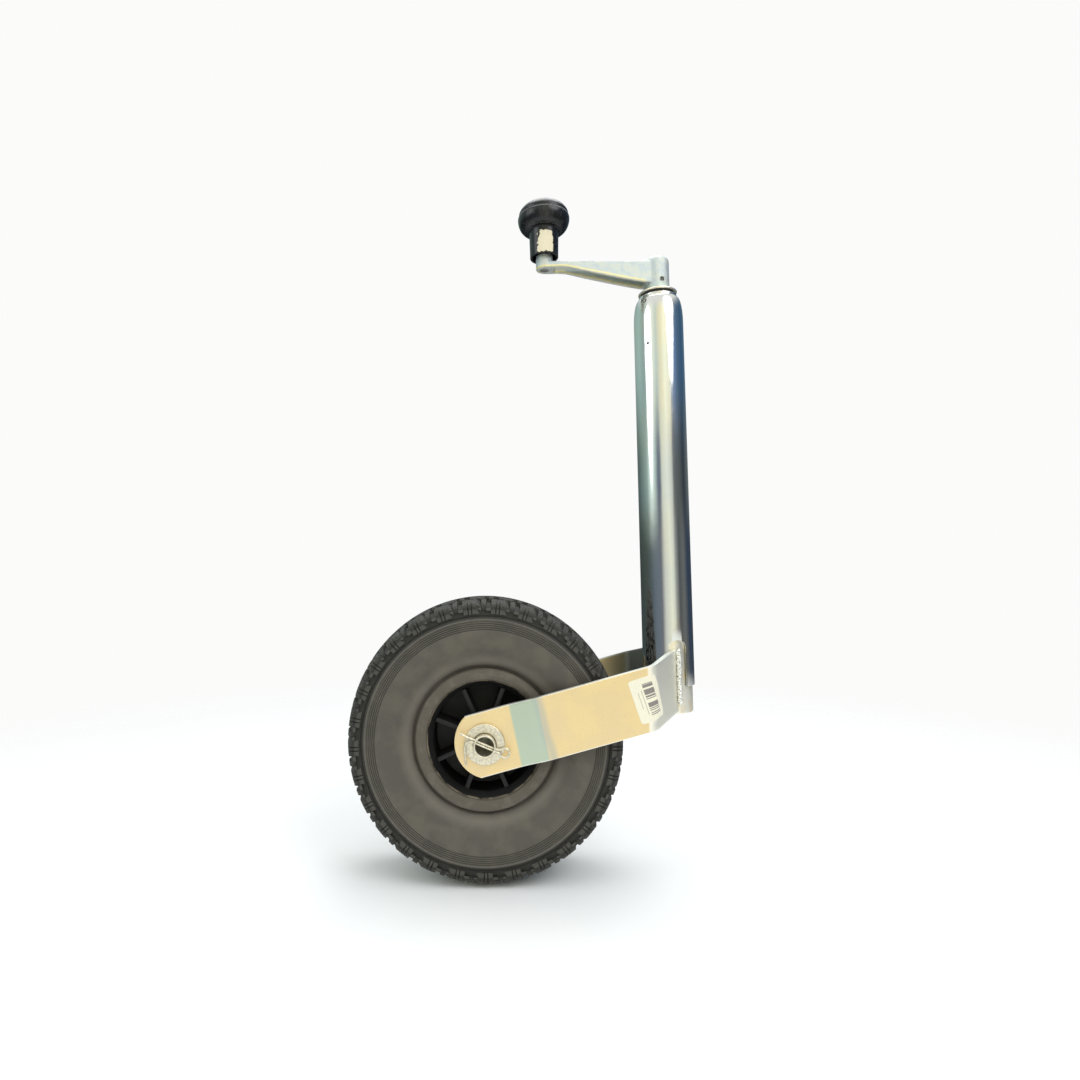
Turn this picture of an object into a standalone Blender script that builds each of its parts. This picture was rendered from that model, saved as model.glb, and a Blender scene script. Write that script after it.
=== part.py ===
"""Trailer jockey wheel: a 48 mm column with a crank and a screw, and a pneumatic wheel in a fork.

Metres, +Z up. The origin is on the column's axis, at the lower end of the outer tube.
The wheel is on the -X side, its axle lies along Y, and the near side of the fork is at -Y.
"""

import math

import bmesh
import bpy
from mathutils import Matrix, Vector

MM = 0.001
GAP = 0.3 * MM

# Column
TUBE_R = 24.0 * MM
TUBE_WALL = 1.8 * MM
TUBE_TOP = 384.0 * MM
SHOULDER_Z = 356.0 * MM
NECK_R = 18.6 * MM
NECK_HOLE_R = 13.0 * MM
SLOT_WIDTH = 17.0 * MM
SLOT_TOP = 43.6 * MM
SLOT_TURN = math.radians(7.5)
INNER_R = TUBE_R - TUBE_WALL - GAP
INNER_WALL = 1.8 * MM
INNER_BOTTOM = -25.2 * MM
INNER_TOP = 300.0 * MM

# Spindle and its bearing
THREAD_R = 10.0 * MM
JOURNAL_R = 8.2 * MM
SPINDLE_BOTTOM = 49.6 * MM
SPINDLE_TOP = 420.0 * MM
COLLAR_R = 14.5 * MM
RACE_R = 15.0 * MM
RACE_T = 2.0 * MM
CAGE_T = 3.6 * MM
NUT_LENGTH = 30.0 * MM

# Crank and knob
WASHER_Z = 386.7 * MM
WASHER_R = 18.9 * MM
HUB_R = 12.0 * MM
HUB_BOTTOM = 389.0 * MM
HUB_TOP = 425.0 * MM
HUB_DOME = 5.5 * MM
ARM_REACH = 114.0 * MM
ARM_TOP = 418.8 * MM
ARM_RISE = 2.3 * MM
ARM_HUB_HALF = 9.4 * MM
ARM_END_HALF = 8.8 * MM
ARM_UNDER = 396.6 * MM
ARM_UNDER_RISE = 18.2 * MM
ARM_WALL = 3.0 * MM
BOSS_R = 8.5 * MM
BOSS_BOTTOM = 415.0 * MM
BOSS_TOP = 430.0 * MM
PIN_Z = 399.0 * MM
PIN_R = 2.2 * MM
PIN_HALF = 9.6 * MM
PIN_TURN = math.radians(10)
STUD_R = 4.0 * MM
KNOB_BOTTOM = 427.7 * MM
KNOB_STEM_R = 14.5 * MM
KNOB_STEM_BORE_R = 11.9 * MM
KNOB_HEAD_R = 26.3 * MM
KNOB_HEAD_Z = 468.5 * MM
KNOB_HEAD_UNDER = 455.3 * MM
KNOB_TOP = 485.4 * MM
KNOB_SEAT_Z = 462.2 * MM
KNOB_CAP_R = 17.0 * MM
KNOB_CAP_Z = 479.0 * MM

# Fork
WHEEL_X = -178.3 * MM
WHEEL_Z = -44.8 * MM
ARM_SLOPE = math.radians(15)
STRIP_WIDTH = 55.6 * MM
STRIP_T = 4.5 * MM
STRIP_Y = 52.5 * MM
TIP_Y = 48.0 * MM
TIP_RADIUS = 32.0 * MM
TIP_REACH = 27.0 * MM
JOG_START = 26.0 * MM
JOG_END = 57.0 * MM
BEND_X = -27.0 * MM
BEND_RADIUS = 9.0 * MM
RETURN_ANGLE = math.radians(46.8)
WELD_R = 1.8 * MM
WELD_X = 3.9 * MM
WELD_Y = 23.7 * MM
WELD_BOTTOM = -17.0 * MM
WELD_TOP = 36.0 * MM

# Axle
AXLE_R = 10.0 * MM
AXLE_BORE_R = 8.4 * MM
AXLE_END = 57.5 * MM
AXLE_WASHER_R = 18.2 * MM
AXLE_WASHER_T = 2.5 * MM
COTTER_Y = 53.6 * MM
COTTER_TURN = math.radians(22.5)
COTTER_HOLE_R = 2.4 * MM
WIRE_R = 0.95 * MM
SPACER_R = 14.0 * MM

# Wheel
TYRE_R = 130.0 * MM
RIM_LIP_R = 65.0 * MM
RIM_FACE = 34.5 * MM
RIM_OPENING_R = 53.3 * MM
BARREL_R = 50.5 * MM
BARREL_BORE_R = 48.2 * MM
HUB_HALF = 38.0 * MM
WHEEL_HUB_R = 19.0 * MM
WHEEL_BORE_R = 12.5 * MM
RIB_COUNT = 8
RIB_TURN = math.radians(1.7)
RIB_T = 4.0 * MM
RIB_FACE = 28.0 * MM
VALVE_Y = 9.5 * MM
VALVE_TURN = math.radians(-90)

ZINC = (0.66, 0.66, 0.60)
BRIGHT_ZINC = (0.72, 0.74, 0.74)
YELLOW_ZINC = (0.76, 0.66, 0.42)
BLACK_PLASTIC = (0.012, 0.012, 0.013)
RIM_PLASTIC = (0.060, 0.055, 0.048)
RUBBER = (0.075, 0.068, 0.060)
STEEL = (0.45, 0.45, 0.44)
NYLON = (0.70, 0.68, 0.60)

for old in list(bpy.data.objects):
    bpy.data.objects.remove(old, do_unlink=True)

parts = bpy.data.collections.new("jockey_wheel")
cutters = bpy.data.collections.new("cutters")
bpy.context.scene.collection.children.link(parts)
bpy.context.scene.collection.children.link(cutters)


def material(name, colour, roughness, metallic=0.0):
    """A Principled BSDF material of one colour."""
    made = bpy.data.materials.new(name)
    made.use_nodes = True
    shader = made.node_tree.nodes["Principled BSDF"]
    shader.inputs["Base Color"].default_value = (*colour, 1.0)
    shader.inputs["Roughness"].default_value = roughness
    shader.inputs["Metallic"].default_value = metallic
    return made


def empty(name, location):
    """A parent on a joint's axis."""
    made = bpy.data.objects.new(name, None)
    made.location = location
    parts.objects.link(made)
    return made


column = empty("column_axis", (0, 0, 0))
crank_axis = empty("crank_axis", (0, 0, 0))
slide_axis = empty("slide_axis", (0, 0, 0))
wheel_axis = empty("wheel_axis", (WHEEL_X, 0, WHEEL_Z))
knob_axis = empty("knob_axis", (-ARM_REACH, 0, KNOB_BOTTOM))


def add(name, mesh, look, parent=None, location=(0, 0, 0), rotation=(0, 0, 0)):
    """A part placed in world space and then parented, so that it stays where it is."""
    made = bpy.data.objects.new(name, mesh)
    parts.objects.link(made)
    made.rotation_euler = rotation
    made.location = Vector(location)
    if parent:
        made.parent = parent
        made.location -= parent.location
    if look:
        mesh.materials.append(material(name, *look))
    return made


def as_cutter(obj):
    """Moves an object to the cutters, out of the render."""
    parts.objects.unlink(obj)
    cutters.objects.link(obj)
    obj.hide_render = True
    obj.display_type = "WIRE"
    return obj


def profile_mesh(name, points, closed):
    """A line of (radius, height) points in the XZ plane."""
    mesh = bpy.data.meshes.new(name)
    edges = [(i, i + 1) for i in range(len(points) - 1)]
    if closed:
        edges.append((len(points) - 1, 0))
    mesh.from_pydata([(r, 0, z) for r, z in points], edges, [])
    return mesh


def turned(name, points, look=None, closed=True, steps=32, **place):
    """A turned shape. The profile runs down its outer side and up its bore."""
    made = add(name, profile_mesh(name, points, closed), look, **place)
    screw = made.modifiers.new("turn", "SCREW")
    screw.steps = steps
    screw.render_steps = steps
    screw.use_merge_vertices = True
    screw.merge_threshold = 0.00001
    screw.use_smooth_shade = True
    return made


def ring(name, outer, bore, low, high, look=None, chamfer=0.0, steps=32, **place):
    """A plain ring, with its outer edges chamfered where it has a chamfer."""
    points = [(outer - chamfer, high), (outer, high - chamfer), (outer, low + chamfer)]
    points.append((outer - chamfer, low))
    if not chamfer:
        points = [(outer, high), (outer, low)]
    return turned(name, points + [(bore, low), (bore, high)], look, steps=steps, **place)


def rod(name, radius, low, high, look=None, steps=24, **place):
    """A solid round bar along its own Z."""
    points = [(0, high), (radius, high), (radius, low), (0, low)]
    return turned(name, points, look, closed=False, steps=steps, **place)


def boolean(target, cutter, operation="DIFFERENCE"):
    cut = target.modifiers.new(cutter.name, "BOOLEAN")
    cut.object = cutter
    cut.operation = operation
    cut.solver = "EXACT"


def block_mesh(name, low, high, shape=None, cuts=0):
    """A box between two corners, cut across X; shape(point) then moves each of its corners."""
    bm = bmesh.new()
    bmesh.ops.create_cube(bm, size=1)
    if cuts:
        long_edges = [edge for edge in bm.edges if edge.verts[0].co.x * edge.verts[1].co.x < 0]
        bmesh.ops.subdivide_edges(bm, edges=long_edges, cuts=cuts)
    centre = (Vector(low) + Vector(high)) / 2
    size = Vector(high) - Vector(low)
    for vert in bm.verts:
        at = Vector(vert.co[i] * size[i] + centre[i] for i in range(3))
        vert.co = shape(at) if shape else at
    mesh = bpy.data.meshes.new(name)
    bm.to_mesh(mesh)
    bm.free()
    return mesh


def arc(centre, radii, start, end, count):
    """Points on an elliptical arc from start to end, in degrees, in the profile's plane."""
    turns = [math.radians(start + (end - start) * i / count) for i in range(count + 1)]
    return [
        (centre[0] + radii[0] * math.cos(t), centre[1] + radii[1] * math.sin(t)) for t in turns
    ]


# ------------------------------------------------------------------ column
def slot_cutter(side, label):
    """Bar with a round top: the lower half of a cylinder is drawn down past the tube's end."""
    bm = bmesh.new()
    half = SLOT_WIDTH / 2
    made = bmesh.ops.create_cone(
        bm, cap_ends=True, segments=32, radius1=half, radius2=half, depth=20 * MM
    )
    for vert in made["verts"]:
        across_slot, up, out = vert.co
        drawn = up if up > -half * 0.05 else up - SLOT_TOP
        vert.co = (across_slot, -TUBE_R - out, drawn + SLOT_TOP - half)
    mesh = bpy.data.meshes.new(f"slot_{label}")
    bm.to_mesh(mesh)
    bm.free()
    turn = SLOT_TURN if side < 0 else math.pi - SLOT_TURN
    return as_cutter(add(f"slot_{label}", mesh, None, rotation=(0, 0, turn)))


def outer_tube():
    """Plated tube, swaged to a neck at the top, with two open slots at the bottom."""
    lip = TUBE_TOP - TUBE_WALL
    out = [(NECK_HOLE_R, TUBE_TOP), (NECK_R - 1.5 * MM, TUBE_TOP)]
    swage = (TUBE_R - NECK_R, TUBE_TOP - 3 * MM - SHOULDER_Z)
    out += arc((NECK_R, SHOULDER_Z), swage, 90, 0, 4)
    out += [(TUBE_R, 0)]
    bore = TUBE_R - TUBE_WALL
    out += [(bore, 0)]
    out += arc((NECK_R - TUBE_WALL, SHOULDER_Z), (swage[0], lip - SHOULDER_Z), 0, 90, 2)
    out += [(NECK_HOLE_R, lip)]
    tube = turned("outer_tube", out, (BRIGHT_ZINC, 0.12, 1.0), steps=48, parent=column)
    for side, label in ((-1, "near"), (1, "far")):
        boolean(tube, slot_cutter(side, label))
    return tube


def spindle_bush():
    flange = 16.5 * MM
    sole = TUBE_TOP + GAP
    body = NECK_HOLE_R - GAP
    bore = JOURNAL_R + GAP
    low = TUBE_TOP - TUBE_WALL
    top = WASHER_Z - GAP
    points = [(bore, top), (flange, top), (flange, sole), (body, sole), (body, low), (bore, low)]
    turned("spindle_bush", points, (BLACK_PLASTIC, 0.5), parent=column)


def thrust_bearing():
    """Two washers and a cage of balls, under the neck of the tube."""
    top = TUBE_TOP - TUBE_WALL - GAP
    bore = JOURNAL_R + GAP
    look = (STEEL, 0.2, 1.0)
    ring("thrust_race_upper", RACE_R, bore, top - RACE_T, top, look, parent=column)
    cage_top = top - RACE_T - GAP
    ring("ball_cage", RACE_R - MM, 9.5 * MM, cage_top - CAGE_T, cage_top, (NYLON, 0.5))
    low = cage_top - CAGE_T - GAP
    ring("thrust_race_lower", RACE_R, bore, low - RACE_T, low, look, parent=crank_axis)
    return low - RACE_T - GAP


def spindle(collar_top):
    """Bar with a collar that bears on the lower race; the thread is its plain outer cylinder."""
    chamfer = 2 * MM
    collar_sole = collar_top - 5 * MM
    tail_r = 6 * MM
    tail = SPINDLE_BOTTOM - 6 * MM
    points = [(0, SPINDLE_TOP), (JOURNAL_R - MM, SPINDLE_TOP), (JOURNAL_R, SPINDLE_TOP - MM)]
    points += [(JOURNAL_R, collar_top), (COLLAR_R, collar_top), (COLLAR_R, collar_sole)]
    points += [(THREAD_R, collar_sole), (THREAD_R, SPINDLE_BOTTOM + chamfer)]
    points += [(THREAD_R - chamfer, SPINDLE_BOTTOM), (tail_r, SPINDLE_BOTTOM), (tail_r, tail)]
    points += [(0, tail)]
    bar = turned("spindle", points, (STEEL, 0.35, 1.0), closed=False, parent=crank_axis)
    boolean(bar, cross_hole("spindle_pin_hole", PIN_R + GAP))
    ring(
        "spindle_stop_ring",
        12 * MM,
        tail_r + GAP,
        tail + MM,
        SPINDLE_BOTTOM - GAP,
        (STEEL, 0.4, 1.0),
        parent=crank_axis,
    )


def cross_hole(name, radius):
    """Cutter for the pin that fixes the crank hub to the spindle."""
    hole = rod(
        name, radius, -20 * MM, 20 * MM, location=(0, 0, PIN_Z), rotation=(math.pi / 2, 0, PIN_TURN)
    )
    return as_cutter(hole)


def inner_tube():
    bottom = INNER_BOTTOM
    bevel = 1.2 * MM
    bore = INNER_R - INNER_WALL
    points = [(INNER_R, INNER_TOP), (INNER_R, bottom + bevel), (INNER_R - bevel * 0.3, bottom)]
    points += [(bore, bottom), (bore, INNER_TOP)]
    turned("inner_tube", points, (YELLOW_ZINC, 0.2, 1.0), steps=48, parent=slide_axis)
    top = INNER_TOP
    nut_r = bore - GAP
    thread = THREAD_R + GAP
    look = (STEEL, 0.4, 1.0)
    ring("spindle_nut", nut_r, thread, top - NUT_LENGTH, top, look, parent=slide_axis)
    low = top + GAP
    ring("guide_collar", INNER_R, 13 * MM, low, low + 8 * MM, (NYLON, 0.5), steps=48, parent=slide_axis)


# ------------------------------------------------------------------ crank
def cover_washer():
    top = HUB_BOTTOM - GAP
    look = (YELLOW_ZINC, 0.3, 1.0)
    ring("cover_washer", WASHER_R, JOURNAL_R + GAP, WASHER_Z, top, look, parent=crank_axis)


def arm_section(x):
    """(half width, underside, top) of the arm at x: its underside rises and levels off at the boss."""
    along = min(max((-x - HUB_R) / (ARM_REACH - HUB_R), 0), 1)
    half = ARM_HUB_HALF + (ARM_END_HALF - ARM_HUB_HALF) * along
    under = ARM_UNDER + ARM_UNDER_RISE * min(along / 0.8, 1) ** 1.12
    return half, under, ARM_TOP + ARM_RISE * along


def crank():
    """Die-cast hub, arm of channel section that is open below, and end boss."""
    dome = HUB_TOP - HUB_DOME
    points = [(0, HUB_TOP)] + arc((HUB_R - HUB_DOME, dome), (HUB_DOME, HUB_DOME), 90, 0, 4)
    points += [(HUB_R, HUB_BOTTOM), (0, HUB_BOTTOM)]
    casting = turned("crank", points, (ZINC, 0.42, 1.0), closed=False, parent=crank_axis)

    def arm_shape(at):
        half, under, top = arm_section(at.x)
        return Vector((at.x, math.copysign(half, at.y), top if at.z > 0 else under))

    def hollow_shape(at):
        half, under, top = arm_section(at.x)
        half -= ARM_WALL
        return Vector((at.x, math.copysign(half, at.y), top - ARM_WALL if at.z > 0 else under - MM))

    arm = block_mesh("arm", (-ARM_REACH, -MM, -MM), (0, MM, MM), arm_shape, 9)
    boolean(casting, as_cutter(add("arm_body", arm, None)), "UNION")
    low = (-ARM_REACH + BOSS_R + 1.5 * MM, -MM, -MM)
    high = (-HUB_R - 1.5 * MM, MM, MM)
    hollow = block_mesh("arm_hollow", low, high, hollow_shape, 9)
    boolean(casting, as_cutter(add("arm_hollow", hollow, None)))
    at = (-ARM_REACH, 0, 0)
    boss = rod("boss", BOSS_R, BOSS_BOTTOM, BOSS_TOP, steps=32, location=at)
    boolean(casting, as_cutter(boss), "UNION")
    bore = rod("hub_bore", JOURNAL_R + GAP, HUB_BOTTOM - MM, SPINDLE_TOP + GAP, steps=48)
    boolean(casting, as_cutter(bore))
    boolean(casting, cross_hole("hub_pin_hole", PIN_R + GAP))
    stud = rod("boss_bore", STUD_R + GAP, BOSS_BOTTOM - MM, BOSS_TOP + MM, location=at)
    boolean(casting, as_cutter(stud))


def crank_pin():
    """Spring pin, a hollow sleeve that lies a little below the hub's surface."""
    ring(
        "crank_pin",
        PIN_R,
        PIN_R / 2,
        -PIN_HALF,
        PIN_HALF,
        (STEEL, 0.4, 1.0),
        0.3 * MM,
        steps=20,
        parent=crank_axis,
        location=(0, 0, PIN_Z),
        rotation=(math.pi / 2, 0, PIN_TURN),
    )


def knob_stud():
    """Steel stud riveted in the boss; its shoulder sits on the boss and its head holds the knob."""
    low = BOSS_BOTTOM + 0.2 * MM
    shoulder = BOSS_TOP + GAP
    shoulder_r = 6.5 * MM
    shoulder_top = shoulder + 3 * MM
    washer_t = 1.6 * MM
    washer_z = KNOB_SEAT_Z + 0.4 * MM
    head = washer_z + washer_t + 0.4 * MM
    head_r = 5.6 * MM
    points = [(0, head + 2 * MM), (head_r - MM, head + 2 * MM), (head_r, head + MM)]
    points += [(head_r, head), (STUD_R, head), (STUD_R, shoulder_top)]
    points += [(shoulder_r, shoulder_top), (shoulder_r, shoulder), (STUD_R, shoulder)]
    points += [(STUD_R, low), (0, low)]
    look = (STEEL, 0.3, 1.0)
    place = {"parent": crank_axis, "location": (-ARM_REACH, 0, 0)}
    turned("knob_stud", points, look, closed=False, steps=20, **place)
    bore = STUD_R + GAP
    ring("knob_washer", 9 * MM, bore, washer_z, washer_z + washer_t, look, steps=24, **place)


def knob():
    """Moulded knob: hollow stem, mushroom head, and a pocket in the head that a cap closes."""
    neck = 17 * MM
    stem_floor = KNOB_BOTTOM + 14 * MM
    bore = STUD_R + GAP
    pocket_r = 11 * MM
    crown_r = 9 * MM
    crown = (KNOB_HEAD_R - crown_r, 15.5 * MM)
    out = arc((crown_r, KNOB_HEAD_Z), crown, 62, 0, 5)
    lower = (KNOB_HEAD_R - neck, KNOB_HEAD_Z - KNOB_HEAD_UNDER)
    out += arc((neck, KNOB_HEAD_Z), lower, -15, -90, 4)
    out += [(KNOB_STEM_R, KNOB_HEAD_UNDER - 0.8 * MM), (KNOB_STEM_R, KNOB_BOTTOM)]
    out += [(KNOB_STEM_BORE_R, KNOB_BOTTOM), (KNOB_STEM_BORE_R, stem_floor), (bore, stem_floor)]
    out += [(bore, KNOB_SEAT_Z), (pocket_r, KNOB_SEAT_Z), (pocket_r, KNOB_CAP_Z)]
    out += [(KNOB_CAP_R, KNOB_CAP_Z)]
    look = (BLACK_PLASTIC, 0.18)
    place = {"parent": knob_axis, "location": (-ARM_REACH, 0, 0)}
    turned("knob", out, look, **place)
    sole = KNOB_CAP_Z + GAP
    edge = KNOB_CAP_R - GAP
    cap = [(0, KNOB_TOP)] + arc((0, sole), (edge, KNOB_TOP - sole), 70, 25, 3)
    cap += [(edge, sole), (0, sole)]
    turned("knob_cap", cap, look, closed=False, **place)


# ------------------------------------------------------------------ fork
def strip_point(u, v, side):
    """Where a point of the flat strip goes: u from the axle towards the column, v across it."""
    x = WHEEL_X + u * math.cos(ARM_SLOPE) - v * math.sin(ARM_SLOPE)
    z = WHEEL_Z + u * math.sin(ARM_SLOPE) + v * math.cos(ARM_SLOPE)
    middle = STRIP_Y - STRIP_T / 2
    step = min(max((u - JOG_START) / (JOG_END - JOG_START), 0), 1)
    step = step * step * (3 - 2 * step)
    y = TIP_Y - STRIP_T / 2 + (STRIP_Y - TIP_Y) * step
    past = x - BEND_X + BEND_RADIUS * math.tan(RETURN_ANGLE / 2)
    if past > 0:
        turn = min(past / BEND_RADIUS, RETURN_ANGLE)
        rest = max(past - BEND_RADIUS * RETURN_ANGLE, 0)
        start = BEND_X - BEND_RADIUS * math.tan(RETURN_ANGLE / 2)
        x = start + BEND_RADIUS * math.sin(turn) + rest * math.cos(RETURN_ANGLE)
        y = middle - BEND_RADIUS * (1 - math.cos(turn)) - rest * math.sin(RETURN_ANGLE)
    return Vector((x, side * y, z))


def fork_arm(side, label):
    """Flat bar: round tip with the axle hole, a joggle, and a bend back to the inner tube."""
    stations = [-40, 8, JOG_START / MM]
    stations += [JOG_START / MM + (JOG_END - JOG_START) / MM * i / 5 for i in range(1, 6)]
    stations += [100, 140] + [146 + 2.5 * i for i in range(10)] + [178, 190, 206]
    half = STRIP_WIDTH / 2
    rows = 4
    bm = bmesh.new()
    bmesh.ops.create_grid(bm, x_segments=len(stations) - 1, y_segments=rows, size=1)
    for vert in bm.verts:
        column_index = round((vert.co.x + 1) / 2 * (len(stations) - 1))
        vert.co = strip_point(stations[column_index] * MM, vert.co.y * half, side)
    mesh = bpy.data.meshes.new(f"fork_arm_{label}")
    bm.to_mesh(mesh)
    bm.free()
    arm = add(f"fork_arm_{label}", mesh, (YELLOW_ZINC, 0.35, 1.0), parent=slide_axis)
    wall = arm.modifiers.new("thickness", "SOLIDIFY")
    wall.thickness = STRIP_T
    wall.offset = 0
    wall.use_even_offset = True
    tip_y = side * (TIP_Y - STRIP_T / 2)
    boolean(arm, tip_cutter(label, tip_y))
    hole = rod(
        f"axle_hole_{label}",
        AXLE_R + GAP,
        -10 * MM,
        10 * MM,
        steps=40,
        location=(WHEEL_X, tip_y, WHEEL_Z),
        rotation=(math.pi / 2, 0, 0),
    )
    boolean(arm, as_cutter(hole))
    cope = rod(f"cope_{label}", INNER_R + GAP, -80 * MM, 120 * MM, steps=64)
    boolean(arm, as_cutter(cope))
    boolean(arm, as_cutter(add(f"trim_{label}", trim_mesh(label, side), None)))
    return arm


def tip_cutter(label, tip_y):
    """Ring that takes the strip's square end down to an arc."""
    middle = TIP_RADIUS - TIP_REACH
    centre = Vector((WHEEL_X + middle * math.cos(ARM_SLOPE), tip_y))
    low = block_mesh(
        f"tip_cut_{label}", (-90 * MM, -10 * MM, -50 * MM), (0, 10 * MM, 50 * MM)
    )
    at = (centre.x, tip_y, WHEEL_Z + middle * math.sin(ARM_SLOPE))
    cut = as_cutter(add(f"tip_cut_{label}", low, None, location=at, rotation=(0, -ARM_SLOPE, 0)))
    disc = rod(
        f"tip_disc_{label}",
        TIP_RADIUS,
        -12 * MM,
        12 * MM,
        steps=64,
        location=at,
        rotation=(math.pi / 2, 0, 0),
    )
    boolean(cut, as_cutter(disc))
    return cut


def trim_mesh(label, side):
    """Block past the inner tube's near side, where the strip ends at the weld."""
    low = (WELD_X - 3.2 * MM, min(side * 5 * MM, side * 21.6 * MM), -60 * MM)
    high = (40 * MM, max(side * 5 * MM, side * 21.6 * MM), 90 * MM)
    return block_mesh(f"trim_{label}", low, high)


def weld(side, label):
    """Fillet bead along the strip's end."""
    count = 17
    step = (WELD_TOP - WELD_BOTTOM) / count
    points = [(0, WELD_TOP)]
    for i in range(1, count):
        bulge = WELD_R - (0.0 if i % 2 else 0.35 * MM)
        points.append((bulge, WELD_TOP - i * step))
    points.append((0, WELD_BOTTOM))
    at = (WELD_X, side * WELD_Y, 0)
    look = (ZINC, 0.5, 1.0)
    turned(f"weld_{label}", points, look, closed=False, steps=10, parent=slide_axis, location=at)


# ------------------------------------------------------------------ axle
def across(y):
    """Placement of a turned piece on the wheel's axis, its own Z along world -Y."""
    return {"location": (WHEEL_X, y, WHEEL_Z), "rotation": (math.pi / 2, 0, 0)}


def axle_tube():
    look = (BRIGHT_ZINC, 0.3, 1.0)
    axle = ring(
        "axle_tube",
        AXLE_R,
        AXLE_BORE_R,
        -AXLE_END,
        AXLE_END,
        look,
        0.8 * MM,
        steps=32,
        parent=slide_axis,
        **across(0),
    )
    for side, label in ((-1, "near"), (1, "far")):
        hole = rod(
            f"cotter_hole_{label}",
            COTTER_HOLE_R,
            -15 * MM,
            15 * MM,
            steps=16,
            location=(WHEEL_X, side * COTTER_Y, WHEEL_Z),
            rotation=(0, -(math.pi / 2 - COTTER_TURN), 0),
        )
        boolean(axle, as_cutter(hole))


def axle_washer(side, label):
    low = TIP_Y + GAP
    middle = side * (low + AXLE_WASHER_T / 2)
    half = AXLE_WASHER_T / 2
    look = (BRIGHT_ZINC, 0.35, 1.0)
    name = f"axle_washer_{label}"
    place = across(middle)
    ring(name, AXLE_WASHER_R, AXLE_R + GAP, -half, half, look, parent=slide_axis, **place)


def hub_spacer(side, label):
    low = HUB_HALF + 1.5 * MM + GAP
    high = TIP_Y - STRIP_T - GAP
    middle = side * (low + high) / 2
    half = (high - low) / 2
    look = (BRIGHT_ZINC, 0.4, 1.0)
    name = f"hub_spacer_{label}"
    ring(name, SPACER_R, AXLE_R + GAP, -half, half, look, parent=slide_axis, **across(middle))


def cotter_path():
    """Middle line of the pin: straight leg, eye, second leg, its bend and its tail, in mm."""
    near = WIRE_R / MM + 0.15
    eye = (18.9, 0.8)
    eye_r = 4.2
    path = [(-24.5, 1.5), (-18, near), (-11, near), (0, near), (12, near)]
    for i in range(13):
        turn = math.radians(155 - 310 * i / 12)
        path.append((eye[0] + eye_r * math.cos(turn), eye[1] + eye_r * math.sin(turn)))
    path += [(12, -near), (0, -near)]
    bend_r = 5.5
    for i in range(8):
        turn = math.radians(118 * i / 7)
        path.append((-10.7 - bend_r * math.sin(turn), -near - bend_r * (1 - math.cos(turn))))
    tail = 14
    path.append((path[-1][0] - tail * math.cos(turn), path[-1][1] - tail * math.sin(turn)))
    return path


def split_pin(side, label):
    """Split pin of round wire through the axle, one leg straight and one bent round it."""
    curve = bpy.data.curves.new(f"split_pin_{label}", "CURVE")
    curve.dimensions = "3D"
    curve.bevel_depth = WIRE_R
    curve.bevel_resolution = 1
    curve.use_fill_caps = True
    spline = curve.splines.new("POLY")
    path = cotter_path()
    spline.points.add(len(path) - 1)
    for point, (along, up) in zip(spline.points, path, strict=True):
        point.co = (along * MM, 0, up * MM, 1)
    at = (WHEEL_X, side * COTTER_Y, WHEEL_Z)
    turn = (0, COTTER_TURN, 0)
    add(
        f"split_pin_{label}",
        curve,
        (BRIGHT_ZINC, 0.3, 1.0),
        parent=slide_axis,
        location=at,
        rotation=turn,
    )


# ------------------------------------------------------------------ wheel
def rim():
    """Moulded rim: hub, middle web, eight through ribs, barrel and two flanges."""
    web = 3 * MM
    flange = RIM_FACE - 3 * MM
    half = [(RIM_LIP_R, RIM_FACE), (RIM_LIP_R, flange), (BARREL_R, RIM_FACE - 8 * MM)]
    inside = [(BARREL_BORE_R, web), (BARREL_BORE_R, RIM_FACE - 8 * MM)]
    inside += [(RIM_OPENING_R, RIM_FACE)]
    hub = [(WHEEL_BORE_R, HUB_HALF), (WHEEL_HUB_R, HUB_HALF), (WHEEL_HUB_R, web)]
    points = hub + inside + half
    mirror = [(r, -z) for r, z in reversed(points)]
    body = turned(
        "rim", points + mirror, (RIM_PLASTIC, 0.55), steps=48, parent=wheel_axis, **across(0)
    )
    bm = bmesh.new()
    for i in range(RIB_COUNT):
        made = bmesh.ops.create_cube(bm, size=1)["verts"]
        length = BARREL_R - 2 * MM - WHEEL_HUB_R + 2 * MM
        size = Matrix.Diagonal((length, RIB_T, 2 * RIB_FACE, 1))
        out = Matrix.Translation((WHEEL_HUB_R - 2 * MM + length / 2, 0, 0))
        turn = Matrix.Rotation(math.tau * (i + 0.5) / RIB_COUNT + RIB_TURN, 4, "Z")
        bmesh.ops.transform(bm, matrix=turn @ out @ size, verts=made)
    mesh = bpy.data.meshes.new("ribs")
    bm.to_mesh(mesh)
    bm.free()
    boolean(body, as_cutter(add("ribs", mesh, None, **across(0))), "UNION")
    at = (WHEEL_X, VALVE_Y, WHEEL_Z)
    hole = rod("valve_hole", 4.5 * MM, 40 * MM, 56 * MM, location=at, rotation=(0, VALVE_TURN, 0))
    boolean(body, as_cutter(hole))


def wheel_bush(side, label):
    """Flanged plain bush pressed in the hub."""
    outer = WHEEL_BORE_R - GAP
    bore = AXLE_R + GAP
    length = 22 * MM
    flange = 16 * MM
    top = HUB_HALF + 1.5 * MM
    sole = HUB_HALF + GAP
    points = [(bore, top), (flange, top), (flange, sole), (outer, sole), (outer, top - length)]
    points += [(bore, top - length)]
    place = {"location": (WHEEL_X, 0, WHEEL_Z), "rotation": (-side * math.pi / 2, 0, 0)}
    turned(f"wheel_bush_{label}", points, (NYLON, 0.5), parent=wheel_axis, **place)


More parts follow.
